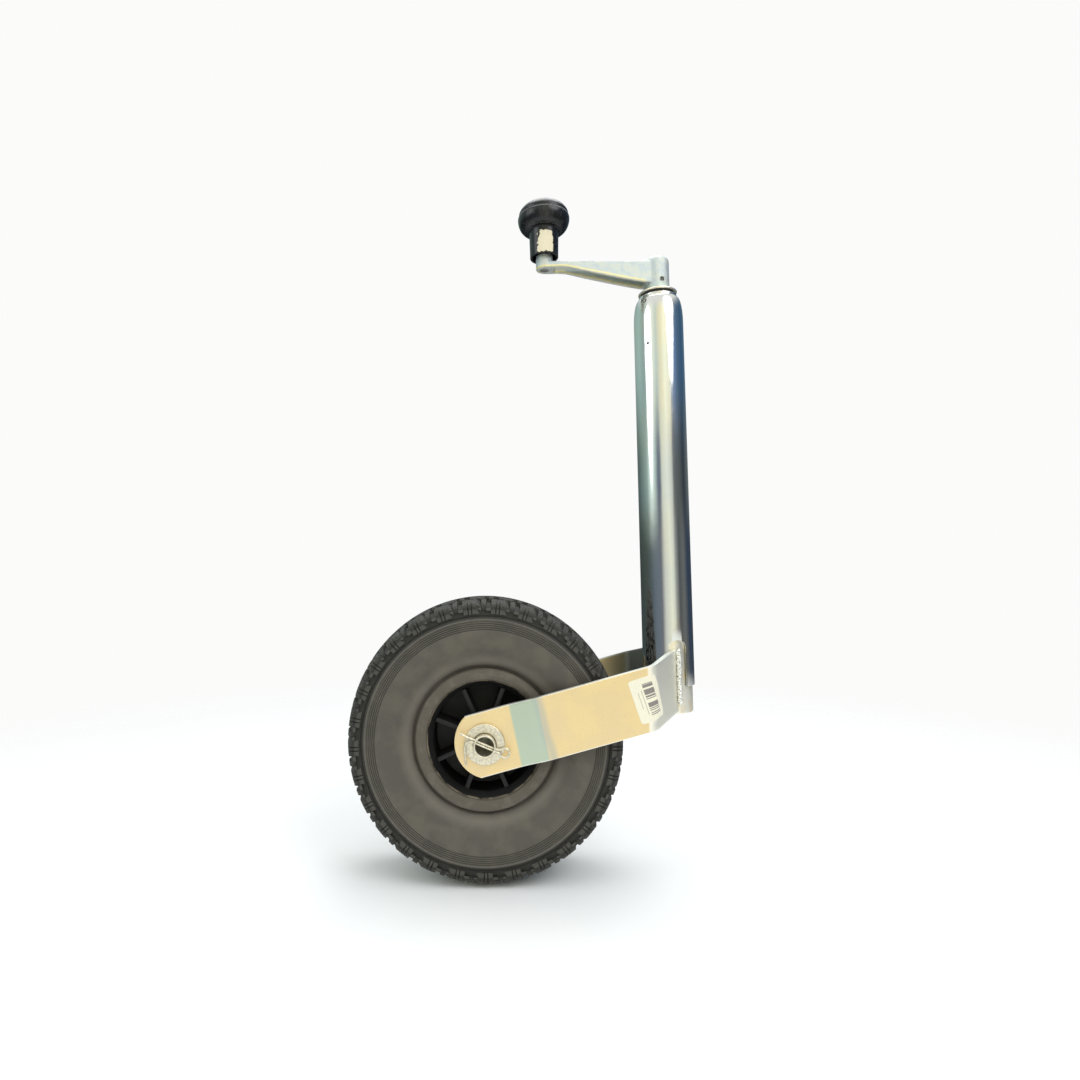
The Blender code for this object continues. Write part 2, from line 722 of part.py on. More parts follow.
def tyre_outside():
    """Half of the tyre's outer side, from the tread's middle to the bead's toe: (radius, y)."""
    points = [(TYRE_R / MM, 0), (129, 22), (126, 33), (119, 39.4), (106, 42.2), (93, 42.3)]
    points += [(77, 39), (70, 34.5), (66.4, 29), (BARREL_R / MM + 0.4, 25.5)]
    return [(r * MM, y * MM) for r, y in points]


def tyre_inside():
    """Half of the tyre's inner side, from the bead's toe to the crown: (radius, y)."""
    points = [(52.4, 17), (72, 32), (96, 35), (113, 28), (119.5, 0)]
    return [(r * MM, y * MM) for r, y in points]


def tyre():
    outside = tyre_outside()
    inside = tyre_inside()
    right = outside + inside
    left = [(r, -y) for r, y in reversed(right[1:-1])]
    points = [(r, y) for r, y in reversed(right)] + [(r, y) for r, y in reversed(left)]
    turned("tyre", points, (RUBBER, 0.75), steps=52, parent=wheel_axis, **across(0))


def air_tube():
    """Butyl tube that fills the tyre; the hole under the valve opens its inside."""
    centre = (86.0 * MM, 0)
    outer = arc(centre, (31.5 * MM, 27.5 * MM), 90, -270, 10)[:-1]
    inner = arc(centre, (29.5 * MM, 25.5 * MM), 90, -270, 8)[:-1]
    look = (BLACK_PLASTIC, 0.6)
    place = across(0)
    tube = turned("air_tube", outer, look, steps=36, parent=wheel_axis, **place)
    boolean(tube, as_cutter(turned("air_space", inner, steps=36, **place)))
    hole = rod(
        "air_tube_hole",
        1.5 * MM,
        45 * MM,
        70 * MM,
        steps=12,
        location=(WHEEL_X, VALVE_Y, WHEEL_Z),
        rotation=(0, VALVE_TURN, 0),
    )
    boolean(tube, as_cutter(hole))


def valve():
    """Rubber stem that comes through the barrel in a far-side pocket, and its dust cap."""
    place = {"location": (WHEEL_X, VALVE_Y, WHEEL_Z), "rotation": (0, VALVE_TURN, 0)}
    stem = [(0, 53.5 * MM), (6 * MM, 53.5 * MM), (6 * MM, 51.6 * MM), (4.1 * MM, 51 * MM)]
    stem += [(3.8 * MM, 38 * MM), (2.6 * MM, 36 * MM), (2.6 * MM, 29 * MM), (0, 29 * MM)]
    look = (BLACK_PLASTIC, 0.6)
    turned("valve_stem", stem, look, closed=False, steps=20, parent=wheel_axis, **place)
    cap = [(3.9 * MM, 35.6 * MM), (3.9 * MM, 27 * MM), (3 * MM, 25.6 * MM), (0, 25.6 * MM)]
    cap += [(0, 28.6 * MM), (2.9 * MM, 28.6 * MM), (2.9 * MM, 35.6 * MM), (3.9 * MM, 35.6 * MM)]
    look = (BLACK_PLASTIC, 0.4)
    turned("valve_cap", cap, look, closed=False, steps=20, parent=wheel_axis, **place)


outer_tube()
spindle_bush()
spindle(thrust_bearing())
inner_tube()
cover_washer()
crank()
crank_pin()
knob_stud()
knob()
axle_tube()
rim()
tyre()
air_tube()
valve()
for side, label in ((-1, "near"), (1, "far")):
    fork_arm(side, label)
    weld(side, label)
    axle_washer(side, label)
    hub_spacer(side, label)
    split_pin(side, label)
    wheel_bush(side, label)
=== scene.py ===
"""The looks of a trailer jockey wheel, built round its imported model.

Metres, in the model's frame: the origin is on the column's axis at the outer tube's lower end, +Z runs up
the column, the wheel is on the -X side and its axle lies along Y, with the near side of the fork at -Y.
"""

import math

import bmesh
import bpy
from mathutils import Matrix, Vector, noise


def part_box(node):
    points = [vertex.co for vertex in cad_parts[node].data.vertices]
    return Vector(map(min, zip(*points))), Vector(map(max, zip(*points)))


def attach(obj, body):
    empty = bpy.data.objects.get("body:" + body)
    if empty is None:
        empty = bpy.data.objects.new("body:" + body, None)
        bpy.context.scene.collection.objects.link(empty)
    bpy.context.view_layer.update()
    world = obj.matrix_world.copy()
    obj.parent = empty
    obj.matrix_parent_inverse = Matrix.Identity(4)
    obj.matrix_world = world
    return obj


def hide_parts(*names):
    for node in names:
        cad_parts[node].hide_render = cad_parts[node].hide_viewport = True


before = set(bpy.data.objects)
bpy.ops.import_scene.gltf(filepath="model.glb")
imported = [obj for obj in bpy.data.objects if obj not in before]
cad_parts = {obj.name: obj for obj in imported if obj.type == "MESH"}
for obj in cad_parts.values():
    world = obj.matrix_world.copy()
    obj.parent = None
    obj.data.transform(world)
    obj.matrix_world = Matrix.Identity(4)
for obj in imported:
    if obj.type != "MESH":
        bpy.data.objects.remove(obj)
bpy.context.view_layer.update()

# ------------------------------------------------------------------------------------------- the view
# The camera stands low on the near side and a little towards the wheel, level with the column's lower
# third, and looks up by four degrees.
CAMERA_PLACE = (-0.16708, -0.63157, 0.11371)
CAMERA_YAW = math.radians(1.187)
CAMERA_PITCH = math.radians(4.093)
CAMERA_ROLL = math.radians(-0.5)

camera = bpy.data.objects.new("camera", bpy.data.cameras.new("camera"))
bpy.context.scene.collection.objects.link(camera)
bpy.context.scene.camera = camera
bpy.context.scene.view_settings.view_transform = "Standard"
camera.data.sensor_width = 36
camera.data.lens = 21.225
camera.data.shift_x = 0.0539
camera.data.shift_y = -0.0173
camera.matrix_world = (
    Matrix.Translation(CAMERA_PLACE)
    @ Matrix.Rotation(CAMERA_YAW, 4, "Z")
    @ Matrix.Rotation(math.pi / 2 + CAMERA_PITCH, 4, "X")
    @ Matrix.Rotation(CAMERA_ROLL, 4, "Z")
)

# ---------------------------------------------------------------------------------------- outer tube
# The column: a 48 mm steel tube, bright zinc plated and polished by the drawing. Its top is swaged in to
# a neck, and two slots with round tops are sawn up from its lower end, where the fork's arms drop in.
MM = 0.001
GAP = 0.3 * MM
TUBE_WALL = 1.8 * MM
NECK_R = 18.6 * MM
NECK_HOLE_R = 13 * MM
SHOULDER_DROP = 28 * MM
SLOT_WIDTH = 17 * MM
SLOT_TOP = 43.6 * MM
SLOT_TURN = math.radians(7.5)
TUBE_PIT = Vector((-15.5 * MM, -18.3 * MM, 331 * MM))

tube_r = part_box("outer_tube")[1].x
tube_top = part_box("outer_tube")[1].z


class Value:
    """A shader socket; arithmetic on it adds Math nodes."""

    def __init__(self, nodes, socket):
        self.nodes = nodes
        self.socket = socket

    def math(self, operation, *values):
        return self.nodes.add("Math", {"operation": operation}, dict(enumerate(values)))

    def __add__(self, other):
        return self.math("ADD", self, other)

    def __radd__(self, other):
        return self.math("ADD", other, self)

    def __sub__(self, other):
        return self.math("SUBTRACT", self, other)

    def __rsub__(self, other):
        return self.math("SUBTRACT", other, self)

    def __mul__(self, other):
        return self.math("MULTIPLY", self, other)

    def __rmul__(self, other):
        return self.math("MULTIPLY", other, self)

    def __pow__(self, other):
        return self.math("POWER", self, other)

    def __abs__(self):
        return self.math("ABSOLUTE", self)

    def step(self, low, high):
        """0 below low and 1 above high, with a soft rise between them."""
        soft = {"interpolation_type": "SMOOTHSTEP"}
        return self.nodes.add("MapRange", soft, {0: self, 1: low, 2: high})

    def band(self, low, high, edge):
        """1 between low and high, with soft edges."""
        return self.step(low - edge, low + edge) - self.step(high - edge, high + edge)


class Nodes:
    """The node tree of a material, or of the world."""

    def __init__(self, owner):
        owner.use_nodes = True
        self.tree = owner.node_tree

    def add(self, kind, settings, inputs, out=0):
        """One node: its settings come first, then the values or links of its sockets."""
        node = self.tree.nodes.new("ShaderNode" + kind)
        for name, value in settings.items():
            if name != "stops":
                setattr(node, name, value)
        for i, (place, colour) in enumerate(settings.get("stops", ())):
            stops = node.color_ramp.elements
            stop = stops[i] if i < 2 else stops.new(place)
            stop.position = place
            stop.color = (*colour, 1)
        for name, value in inputs.items():
            if isinstance(value, Value):
                self.tree.links.new(value.socket, node.inputs[name])
            else:
                node.inputs[name].default_value = value
        return Value(self, node.outputs[out])

    def mix(self, share, first, second):
        """The first colour where share is 0 and the second where it is 1."""
        colours = {
            i: value if isinstance(value, Value) else (*value, 1)
            for i, value in ((6, first), (7, second))
        }
        return self.add("Mix", {"data_type": "RGBA"}, {0: share, **colours}, out=2)

    def at(self, **mapping):
        """Object coordinates through a Mapping node."""
        place = self.add("TexCoord", {}, {}, out="Object")
        return self.add("Mapping", {"vector_type": "TEXTURE"}, {"Vector": place, **mapping})

    def axis(self, name, place=None):
        """One of the coordinates, X, Y or Z."""
        return self.add("SeparateXYZ", {}, {0: place or self.at()}, out=name)

    def grain(self, size, detail=2.0, stretch=(1, 1, 1), rough=0.5):
        """Noise of about 0.3 to 0.7, with lumps of that size along each axis."""
        place = self.at(Scale=[size * s for s in stretch])
        return self.add("TexNoise", {}, {0: place, "Scale": 1.0, "Detail": detail, "Roughness": rough})


class Finish(Nodes):
    """A procedural material. Its constants go on the Principled shader's own sockets."""

    def __init__(self, name, **constants):
        self.material = bpy.data.materials.new(name)
        super().__init__(self.material)
        self.shader = self.tree.nodes["Principled BSDF"]
        for socket, value in constants.items():
            self.shader.inputs[socket.replace("_", " ")].default_value = value

    def feed(self, socket, value):
        self.tree.links.new(value.socket, self.shader.inputs[socket])

    def relief(self, height):
        """Bumps the surface by a height in metres."""
        self.feed("Normal", self.add("Bump", {}, {"Height": height, "Distance": 1.0}))


def rounded(corners, steps=5, closed=True):
    """An outline of (across, along, radius) corners, with each corner turned into an arc."""
    line = []
    for i, (x, y, radius) in enumerate(corners):
        here = Vector((x, y))
        if not radius or (not closed and i in (0, len(corners) - 1)):
            line.append(here)
            continue
        back = Vector(corners[i - 1][:2]) - here
        on = Vector(corners[(i + 1) % len(corners)][:2]) - here
        half = back.angle(on) / 2
        reach = min(radius / math.tan(half), back.length * 0.49, on.length * 0.49)
        arc = reach * math.tan(half)
        centre = here + (back.normalized() + on.normalized()).normalized() * (arc / math.sin(half))
        start = here + back.normalized() * reach
        end = here + on.normalized() * reach
        for k in range(steps + 1):
            line.append(centre + (start.lerp(end, k / steps) - centre).normalized() * arc)
    return line


def turned(outline, steps=96, closed=True, place=None, axis=(0, 0, 1)):
    """A solid of revolution, from an outline of (radius, height) points."""
    shape = bmesh.new()
    points = [shape.verts.new((x, 0, z)) for x, z in outline]
    ends = points[1:] + points[:1] if closed else points[1:]
    lines = [shape.edges.new(pair) for pair in zip(points, ends)]
    bmesh.ops.spin(
        shape, geom=points + lines, cent=(0, 0, 0), axis=axis, dvec=(0, 0, 0), angle=math.tau,
        steps=steps, use_merge=True, use_duplicate=False,
    )
    bmesh.ops.remove_doubles(shape, verts=shape.verts, dist=0.001 * MM)
    bmesh.ops.dissolve_degenerate(shape, edges=shape.edges, dist=0.0001 * MM)
    bmesh.ops.recalc_face_normals(shape, faces=shape.faces)
    if place:
        bmesh.ops.transform(shape, matrix=place, verts=shape.verts)
    return shape


def show(name, shape, look=None, sharp=30):
    """An object of a finished shape, smooth but for edges sharper than the angle."""
    mesh = bpy.data.meshes.new(name)
    shape.to_mesh(mesh)
    shape.free()
    piece = bpy.data.objects.new(name, mesh)
    bpy.context.scene.collection.objects.link(piece)
    if look:
        mesh.materials.append(look.material)
    mesh.shade_smooth()
    mesh.set_sharp_from_angle(angle=math.radians(sharp))
    return piece


def settle(piece, sharp=30):
    """Makes what a piece's modifiers give its mesh."""
    graph = bpy.context.evaluated_depsgraph_get()
    mesh = bpy.data.meshes.new_from_object(piece.evaluated_get(graph))
    piece.modifiers.clear()
    piece.data = mesh
    mesh.shade_smooth()
    mesh.set_sharp_from_angle(angle=math.radians(sharp))


def carve(piece, *shapes, operation="DIFFERENCE"):
    """Cuts solids out of a piece, or joins them to it."""
    tools = [show("tool", shape) for shape in shapes]
    for tool in tools:
        cut = piece.modifiers.new("cut", "BOOLEAN")
        cut.operation = operation
        cut.solver = "EXACT"
        cut.object = tool
    settle(piece)
    for tool in tools:
        bpy.data.objects.remove(tool)


def soften(piece, width, angle=35, segments=2):
    """Breaks a piece's sharp edges."""
    edge = piece.modifiers.new("edge", "BEVEL")
    edge.width = width
    edge.segments = segments
    edge.limit_method = "ANGLE"
    edge.angle_limit = math.radians(angle)
    edge.use_clamp_overlap = True
    settle(piece)


def slot(turn):
    """A bar with a round top, through the tube's wall on one side."""
    shape = bmesh.new()
    half = SLOT_WIDTH / 2
    end = bmesh.ops.create_cone(
        shape, cap_ends=True, segments=64, radius1=half, radius2=half, depth=20 * MM
    )["verts"]
    for vert in end:
        across, up, out = vert.co
        drawn = up if up > -half * 0.05 else up - SLOT_TOP
        vert.co = (across, -tube_r - out, drawn + SLOT_TOP - half)
    bmesh.ops.rotate(shape, cent=(0, 0, 0), matrix=Matrix.Rotation(turn, 3, "Z"), verts=end)
    return shape


bore = tube_r - TUBE_WALL
lip = tube_top - TUBE_WALL
outline = [Vector((NECK_HOLE_R, tube_top))]
neck = [(NECK_HOLE_R, tube_top, 0), (NECK_R, tube_top, 2 * MM), (NECK_R, lip, 0)]
outline += rounded(neck, closed=False)[1:-1]
for k in range(13):
    turn = math.pi / 2 * (1 - k / 12)
    out = NECK_R + (tube_r - NECK_R) * math.cos(turn) ** 0.9
    up = tube_top - SHOULDER_DROP + (SHOULDER_DROP - 3 * MM) * math.sin(turn)
    outline.append(Vector((out, up)))
outline += [Vector((tube_r, 60 * MM)), Vector((tube_r, 42 * MM)), Vector((tube_r, 20 * MM))]
foot = [(tube_r, 20 * MM, 0), (tube_r, 0, 0.5 * MM), (bore, 0, 0.5 * MM), (bore, 20 * MM, 0)]
outline += rounded(foot, 3, False)[1:]
outline += [Vector((bore, 60 * MM)), Vector((bore, tube_top - SHOULDER_DROP))]
outline += [Vector((NECK_R - TUBE_WALL, lip - 2 * MM)), Vector((NECK_R - 4 * MM, lip))]
outline += [Vector((NECK_HOLE_R, lip))]

zinc = Finish("bright_zinc", Metallic=1.0)
streaks = zinc.grain(0.5 * MM, 3, (1, 1, 60))
cloud = zinc.grain(30 * MM, 3, (1, 1, 2.5))
specks = zinc.grain(0.8 * MM, 1).step(0.64, 0.72)
tint = zinc.mix(cloud.step(0.35, 0.65), (0.66, 0.70, 0.70), (0.74, 0.73, 0.66))
tint = zinc.mix(specks * 0.35, tint, (0.30, 0.31, 0.32))
pit_place = zinc.at(Location=TUBE_PIT)
from_pit = zinc.add("VectorMath", {"operation": "LENGTH"}, {0: pit_place}, out="Value")
pit = 1 - from_pit.step(0.8 * MM, 1.5 * MM)
# A dark line along the right edge of the near slot, below its round top, is a painted shadow of the gap
# between the slot's edge and the leg.
near_slot = zinc.at(Rotation=(0, 0, SLOT_TURN))
slot_edge_shadow = zinc.axis("X", near_slot).band(SLOT_WIDTH / 2, SLOT_WIDTH / 2 + 0.7 * MM, 0.2 * MM)
slot_edge_shadow = slot_edge_shadow * (1 - zinc.axis("Z", near_slot).step(28 * MM, 38 * MM))
slot_edge_shadow = slot_edge_shadow * (1 - zinc.axis("Y", near_slot).step(-MM, MM))
tint = zinc.mix(slot_edge_shadow * 0.9, tint, (0.03, 0.035, 0.04))
zinc.feed("Base Color", zinc.mix(pit, tint, (0.06, 0.055, 0.05)))
zinc.feed("Roughness", 0.085 + streaks.step(0.45, 0.75) * 0.06 + cloud.step(0.5, 0.7) * 0.05 + pit * 0.4)
zinc.relief(streaks * (0.004 * MM) + cloud * (0.25 * MM) - pit * (0.3 * MM))

tube = show("column_tube", turned(outline, 128), zinc)
carve(tube, slot(SLOT_TURN), slot(math.pi - SLOT_TURN))
soften(tube, 0.35 * MM)
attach(tube, "column")
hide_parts("outer_tube")

# ------------------------------------------------------------------------------- spindle and bearing
# The screw that the crank turns: a steel bar in a plastic bush, hung on two hardened washers and a cage
# of balls under the tube's neck, with a stop ring at its foot. All of it is greased and out of sight.
steel = Finish("turned_steel", Metallic=1.0)
rings = steel.grain(0.6 * MM, 2, (12, 12, 1))
smear = steel.grain(9 * MM, 3)
steel.feed("Base Color", steel.mix(smear.step(0.4, 0.65), (0.42, 0.42, 0.41), (0.27, 0.24, 0.19)))
steel.feed("Roughness", 0.28 + rings * 0.15 + smear * 0.1)
steel.relief(rings * (0.02 * MM))

for node in ("thrust_race_upper", "thrust_race_lower", "spindle_stop_ring", "spindle_nut"):
    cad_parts[node].data.materials[0] = steel.material

nylon = Finish("nylon", Subsurface_Weight=0.05)
haze = nylon.grain(4 * MM, 3)
nylon.feed("Base Color", nylon.mix(haze.step(0.35, 0.65), (0.72, 0.70, 0.62), (0.60, 0.57, 0.48)))
nylon.feed("Roughness", 0.42 + haze * 0.2)
nylon.relief(haze * (0.05 * MM))
for node in ("ball_cage", "guide_collar"):
    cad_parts[node].data.materials[0] = nylon.material

matt_black = Finish("black_moulding")
dust = matt_black.grain(2.5 * MM, 4)
tint = matt_black.mix(dust.step(0.5, 0.75), (0.012, 0.012, 0.013), (0.045, 0.043, 0.040))
matt_black.feed("Base Color", tint)
matt_black.feed("Roughness", 0.42 + dust * 0.25)
matt_black.relief(dust * (0.04 * MM))
for node in ("spindle_bush", "valve_cap"):
    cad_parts[node].data.materials[0] = matt_black.material

THREAD_R = 10 * MM
THREAD_DEPTH = 2 * MM
THREAD_LEAD = 4 * MM
JOURNAL_R = 8.2 * MM
COLLAR_R = 14.5 * MM
spindle_low, spindle_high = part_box("spindle")
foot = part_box("spindle_stop_ring")[1].z + 0.3 * MM
collar_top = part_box("thrust_race_lower")[0].z - 0.3 * MM
collar_sole = collar_top - 5 * MM
core = THREAD_R - THREAD_DEPTH
outline = rounded(
    [
        (0, spindle_high.z, 0), (JOURNAL_R, spindle_high.z, MM), (JOURNAL_R, collar_top, 0),
        (COLLAR_R, collar_top, 0.4 * MM), (COLLAR_R, collar_sole, 0.4 * MM), (core, collar_sole, 0),
        (core, foot, 0.5 * MM), (6 * MM, foot, 0), (6 * MM, spindle_low.z, 0.6 * MM),
        (0, spindle_low.z, 0),
    ],
    closed=False,
)
bar = show("screw_spindle", turned(outline, 48, closed=False), steel)
thread = bmesh.new()
turns = int((collar_sole - foot - 8 * MM) / THREAD_LEAD)
flank = [(core - 0.5 * MM, 1.5), (core, 1.36), (THREAD_R, 0.64)]
ridge = [(r, -z) for r, z in flank] + flank[::-1]
points = [thread.verts.new((r, 0, foot + 4 * MM + z * MM)) for r, z in ridge]
lines = [thread.edges.new(pair) for pair in zip(points, points[1:] + points[:1])]
start = thread.faces.new(points)
STEPS_A_TURN = 20
bmesh.ops.spin(
    thread, geom=[start], cent=(0, 0, 0), axis=(0, 0, 1), dvec=(0, 0, THREAD_LEAD / STEPS_A_TURN),
    angle=math.tau * turns, steps=STEPS_A_TURN * turns, use_duplicate=False,
)
bmesh.ops.recalc_face_normals(thread, faces=thread.faces)
helix = show("screw_thread", thread, steel)
for piece in (bar, helix):
    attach(piece, "crank_drive")
    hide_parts("spindle")

# ---------------------------------------------------------------------------------------- inner tube
# The leg that slides in the column: a thinner tube with a cream zinc finish that shows in the slots and
# under the column. Its lower edge is rolled.
INNER_WALL = 1.8 * MM
inner_low, inner_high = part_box("inner_tube")
inner_r = inner_high.x
inner_bore = inner_r - INNER_WALL
outline = rounded(
    [
        (inner_r, inner_high.z, 0.4 * MM), (inner_r, inner_low.z, 1.5 * MM),
        (inner_bore, inner_low.z, 0.3 * MM), (inner_bore, inner_high.z, 0.4 * MM),
    ]
)
cream = Finish("cream_zinc", Metallic=0.85)
streaks = cream.grain(0.6 * MM, 3, (1, 1, 40))
cloud = cream.grain(12 * MM, 3)
tint = cream.mix(cloud.step(0.4, 0.62), (0.90, 0.87, 0.76), (0.86, 0.74, 0.50))
cream.feed("Base Color", cream.mix(streaks.step(0.6, 0.75) * 0.25, tint, (0.45, 0.43, 0.38)))
cream.feed("Roughness", 0.24 + streaks * 0.12)
cream.relief(streaks * (0.01 * MM) + cloud * (0.1 * MM))
leg = show("leg_tube", turned(outline, 128), cream)
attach(leg, "sliding_leg")
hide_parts("inner_tube")

# --------------------------------------------------------------------------------------------- crank
# A zinc die casting: a hub pinned on the spindle's end, an arm that is a channel open below, and a boss
# for the knob's stud. Its skin is sandy, with cast fillets, and a thin washer lies under the hub.
HUB_R = 12 * MM
HUB_DOME = 5.5 * MM
ARM_HUB_HALF = 9.4 * MM
ARM_BOSS_HALF = 8.8 * MM
ARM_UNDER = 396.6 * MM
ARM_UNDER_RISE = 18.2 * MM
ARM_TOP = 418.8 * MM
ARM_RISE = 2.3 * MM
ARM_WEB = 3 * MM
BOSS_R = 8.5 * MM
BOSS_BOTTOM = 415 * MM
STUD_R = 4 * MM
PIN_R = 2.2 * MM
PIN_HALF = 9.6 * MM
PIN_Z = 399 * MM
PIN_TURN = math.radians(10)

crank_low, crank_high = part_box("crank")
arm_reach = -(crank_low.x + BOSS_R)
hub_top = 425 * MM


def arm_section(x):
    """(half width, underside, top) of the arm at x: its underside rises and levels off at the boss."""
    along = min(max((-x - HUB_R) / (arm_reach - HUB_R), 0), 1)
    half = ARM_HUB_HALF + (ARM_BOSS_HALF - ARM_HUB_HALF) * along
    under = ARM_UNDER + ARM_UNDER_RISE * min(along / 0.8, 1) ** 1.12
    return half, under, ARM_TOP + ARM_RISE * along


def arm_block(near, far, thinner=0.0, deeper=0.0):
    """The arm from x near to x far; thinner and deeper shape the hollow below it."""
    shape = bmesh.new()
    bmesh.ops.create_cube(shape, size=2)
    long_edges = [edge for edge in shape.edges if edge.verts[0].co.x * edge.verts[1].co.x < 0]
    bmesh.ops.subdivide_edges(shape, edges=long_edges, cuts=15)
    for vert in shape.verts:
        x = far + (near - far) * (vert.co.x + 1) / 2
        half, under, top = arm_section(x)
        vert.co = (x, vert.co.y * (half - thinner), top - thinner if vert.co.z > 0 else under - deeper)
    return shape


def hub_fillet():
    """The short rise of the arm's top into the hub."""
    shape = bmesh.new()
    for vert in bmesh.ops.create_cube(shape, size=2)["verts"]:
        x = -9 * MM if vert.co.x > 0 else -17.5 * MM
        rise = 4.5 * MM if vert.co.x > 0 else 0.3 * MM
        z = ARM_TOP + rise if vert.co.z > 0 else ARM_TOP - 6 * MM
        vert.co = (x, vert.co.y * 8 * MM, z)
    return shape


boss_place = Matrix.Translation((-arm_reach, 0, 0))
outline = rounded(
    [(0, hub_top, 0), (HUB_R, hub_top, HUB_DOME), (HUB_R, crank_low.z, 0.8 * MM), (0, crank_low.z, 0)],
    closed=False,
)
boss = [(0, crank_high.z), (BOSS_R - 0.6 * MM, crank_high.z), (BOSS_R, crank_high.z - 0.6 * MM)]
boss += [(BOSS_R, BOSS_BOTTOM), (0, BOSS_BOTTOM)]
cast = Finish("die_casting", Metallic=0.75)
sand = cast.grain(0.55 * MM, 3, rough=0.7)
flow = cast.grain(7 * MM, 3)
height = cast.axis("Z")
out = cast.axis("X") * -1.0
along = (out - HUB_R) * (1 / (arm_reach - HUB_R))
slope = ARM_UNDER + along * (ARM_UNDER_RISE / 0.8)
under = cast.add("Math", {"operation": "MINIMUM"}, {0: slope, 1: ARM_UNDER + ARM_UNDER_RISE})
edge = height - under
# A bright yellow line just above the arm's underside, along its lower edge, is a painted highlight.
web_edge_highlight = edge.band(0.5 * MM, 2.2 * MM, 0.5 * MM) * out.step(HUB_R, HUB_R + 3 * MM)
tint = cast.mix(flow.step(0.38, 0.6), (0.54, 0.60, 0.60), (0.62, 0.65, 0.59))
tint = cast.mix(web_edge_highlight * 0.85, tint, (0.92, 0.80, 0.36))
# Below that edge, the channel's underside is tinted a warmer and slightly darker colour as painted shade.
low = (1 - edge.step(-1.5 * MM, 0.6 * MM)) * out.step(HUB_R, HUB_R + 3 * MM)
tint = cast.mix(low * 0.8, tint, (0.66, 0.58, 0.44))
foot = (1 - height.step(0.391, 0.397)) * flow.step(0.35, 0.6)
tint = cast.mix(foot * 0.7, tint, (0.62, 0.78, 0.66))
sparkle = sand.step(0.56, 0.70)
pores = 1 - sand.step(0.30, 0.42)
tint = cast.mix(sparkle * 0.4, tint, (0.95, 0.95, 0.90))
cast.feed("Base Color", cast.mix(pores * 0.85, tint, (0.24, 0.26, 0.25)))
cast.feed("Roughness", 0.36 + sand * 0.3)
cast.relief(sand * (0.40 * MM) + flow * (0.2 * MM))
casting = show("crank_casting", turned(outline, 64, closed=False), cast)
carve(casting, arm_block(0, -arm_reach), hub_fillet(), turned(boss, 48, False, boss_place), operation="UNION")
hollow = arm_block(-HUB_R - 1.5 * MM, -arm_reach + BOSS_R + 1.5 * MM, ARM_WEB, 3 * MM)
carve(casting, hollow)
skin = casting.modifiers.new("skin", "REMESH")
skin.mode = "VOXEL"
skin.voxel_size = 0.75 * MM
ease = casting.modifiers.new("ease", "SMOOTH")
ease.factor = 0.5
ease.iterations = 5
settle(casting)


def drill(radius, low, high, place=None, steps=48):
    """A cutter for a round hole."""
    return turned([(0, high), (radius, high), (radius, low), (0, low)], steps, False, place)


pin_place = Matrix.Translation((0, 0, PIN_Z)) @ Matrix.Rotation(PIN_TURN, 4, "Z")
pin_place = pin_place @ Matrix.Rotation(math.pi / 2, 4, "X")
carve(
    casting,
    drill(JOURNAL_R + GAP, crank_low.z - MM, spindle_high.z + GAP),
    drill(PIN_R + GAP, -20 * MM, 20 * MM, pin_place),
    drill(STUD_R + GAP, BOSS_BOTTOM - 2 * MM, crank_high.z + MM, boss_place),
)
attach(casting, "crank_drive")
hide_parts("crank")

washer_low, washer_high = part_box("cover_washer")
outline = rounded(
    [
        (washer_high.x, washer_high.z, 0.9 * MM), (washer_high.x, washer_low.z, 0.9 * MM),
        (JOURNAL_R + GAP, washer_low.z, 0.2 * MM), (JOURNAL_R + GAP, washer_high.z, 0.2 * MM),
    ]
)
cover = show("hub_washer", turned(outline, 96), cream)
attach(cover, "crank_drive")
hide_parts("cover_washer")

pin = rounded(
    [
        (PIN_R, PIN_HALF, 0.4 * MM), (PIN_R, -PIN_HALF, 0.4 * MM),
        (PIN_R / 2, -PIN_HALF, 0.1 * MM), (PIN_R / 2, PIN_HALF, 0.1 * MM),
    ]
)
sleeve = show("hub_spring_pin", turned(pin, 40, place=pin_place), steel)
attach(sleeve, "crank_drive")
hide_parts("crank_pin")

# ---------------------------------------------------------------------------------------------- knob
# A glossy black moulding that turns on a riveted steel stud: a hollow stem under a mushroom head, whose
# top is a cap. A torn scrap of cream paper still sticks to the stem.
STEM_R = 14.5 * MM
STEM_BORE_R = 11.9 * MM
HEAD_Z = 468.5 * MM
HEAD_UNDER = 455.3 * MM
CROWN_R = 9 * MM
CROWN_RISE = 15.5 * MM
BRIM_R = 17 * MM
CAP_R = 16.7 * MM

knob_low, knob_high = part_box("knob")
cap_low, cap_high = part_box("knob_cap")
head_r = (knob_high.x - knob_low.x) / 2
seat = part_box("knob_washer")[0].z - 0.4 * MM
knob_place = Matrix.Translation(((knob_low.x + knob_high.x) / 2, 0, 0))
outline = []
for k in range(33):
    degrees = 62 - 62 * k / 32
    crease = MM * math.exp(-((degrees - 12) / 6) ** 2)
    turn = math.radians(degrees)
    out = CROWN_R + (head_r - CROWN_R - crease) * math.cos(turn)
    outline.append(Vector((out, HEAD_Z + (CROWN_RISE - crease) * math.sin(turn))))
for k in range(1, 15):
    turn = math.radians(-88 * k / 14)
    out = BRIM_R + (head_r - BRIM_R) * math.cos(turn)
    outline.append(Vector((out, HEAD_Z + (HEAD_Z - HEAD_UNDER) * math.sin(turn))))
stem_floor = knob_low.z + 14 * MM
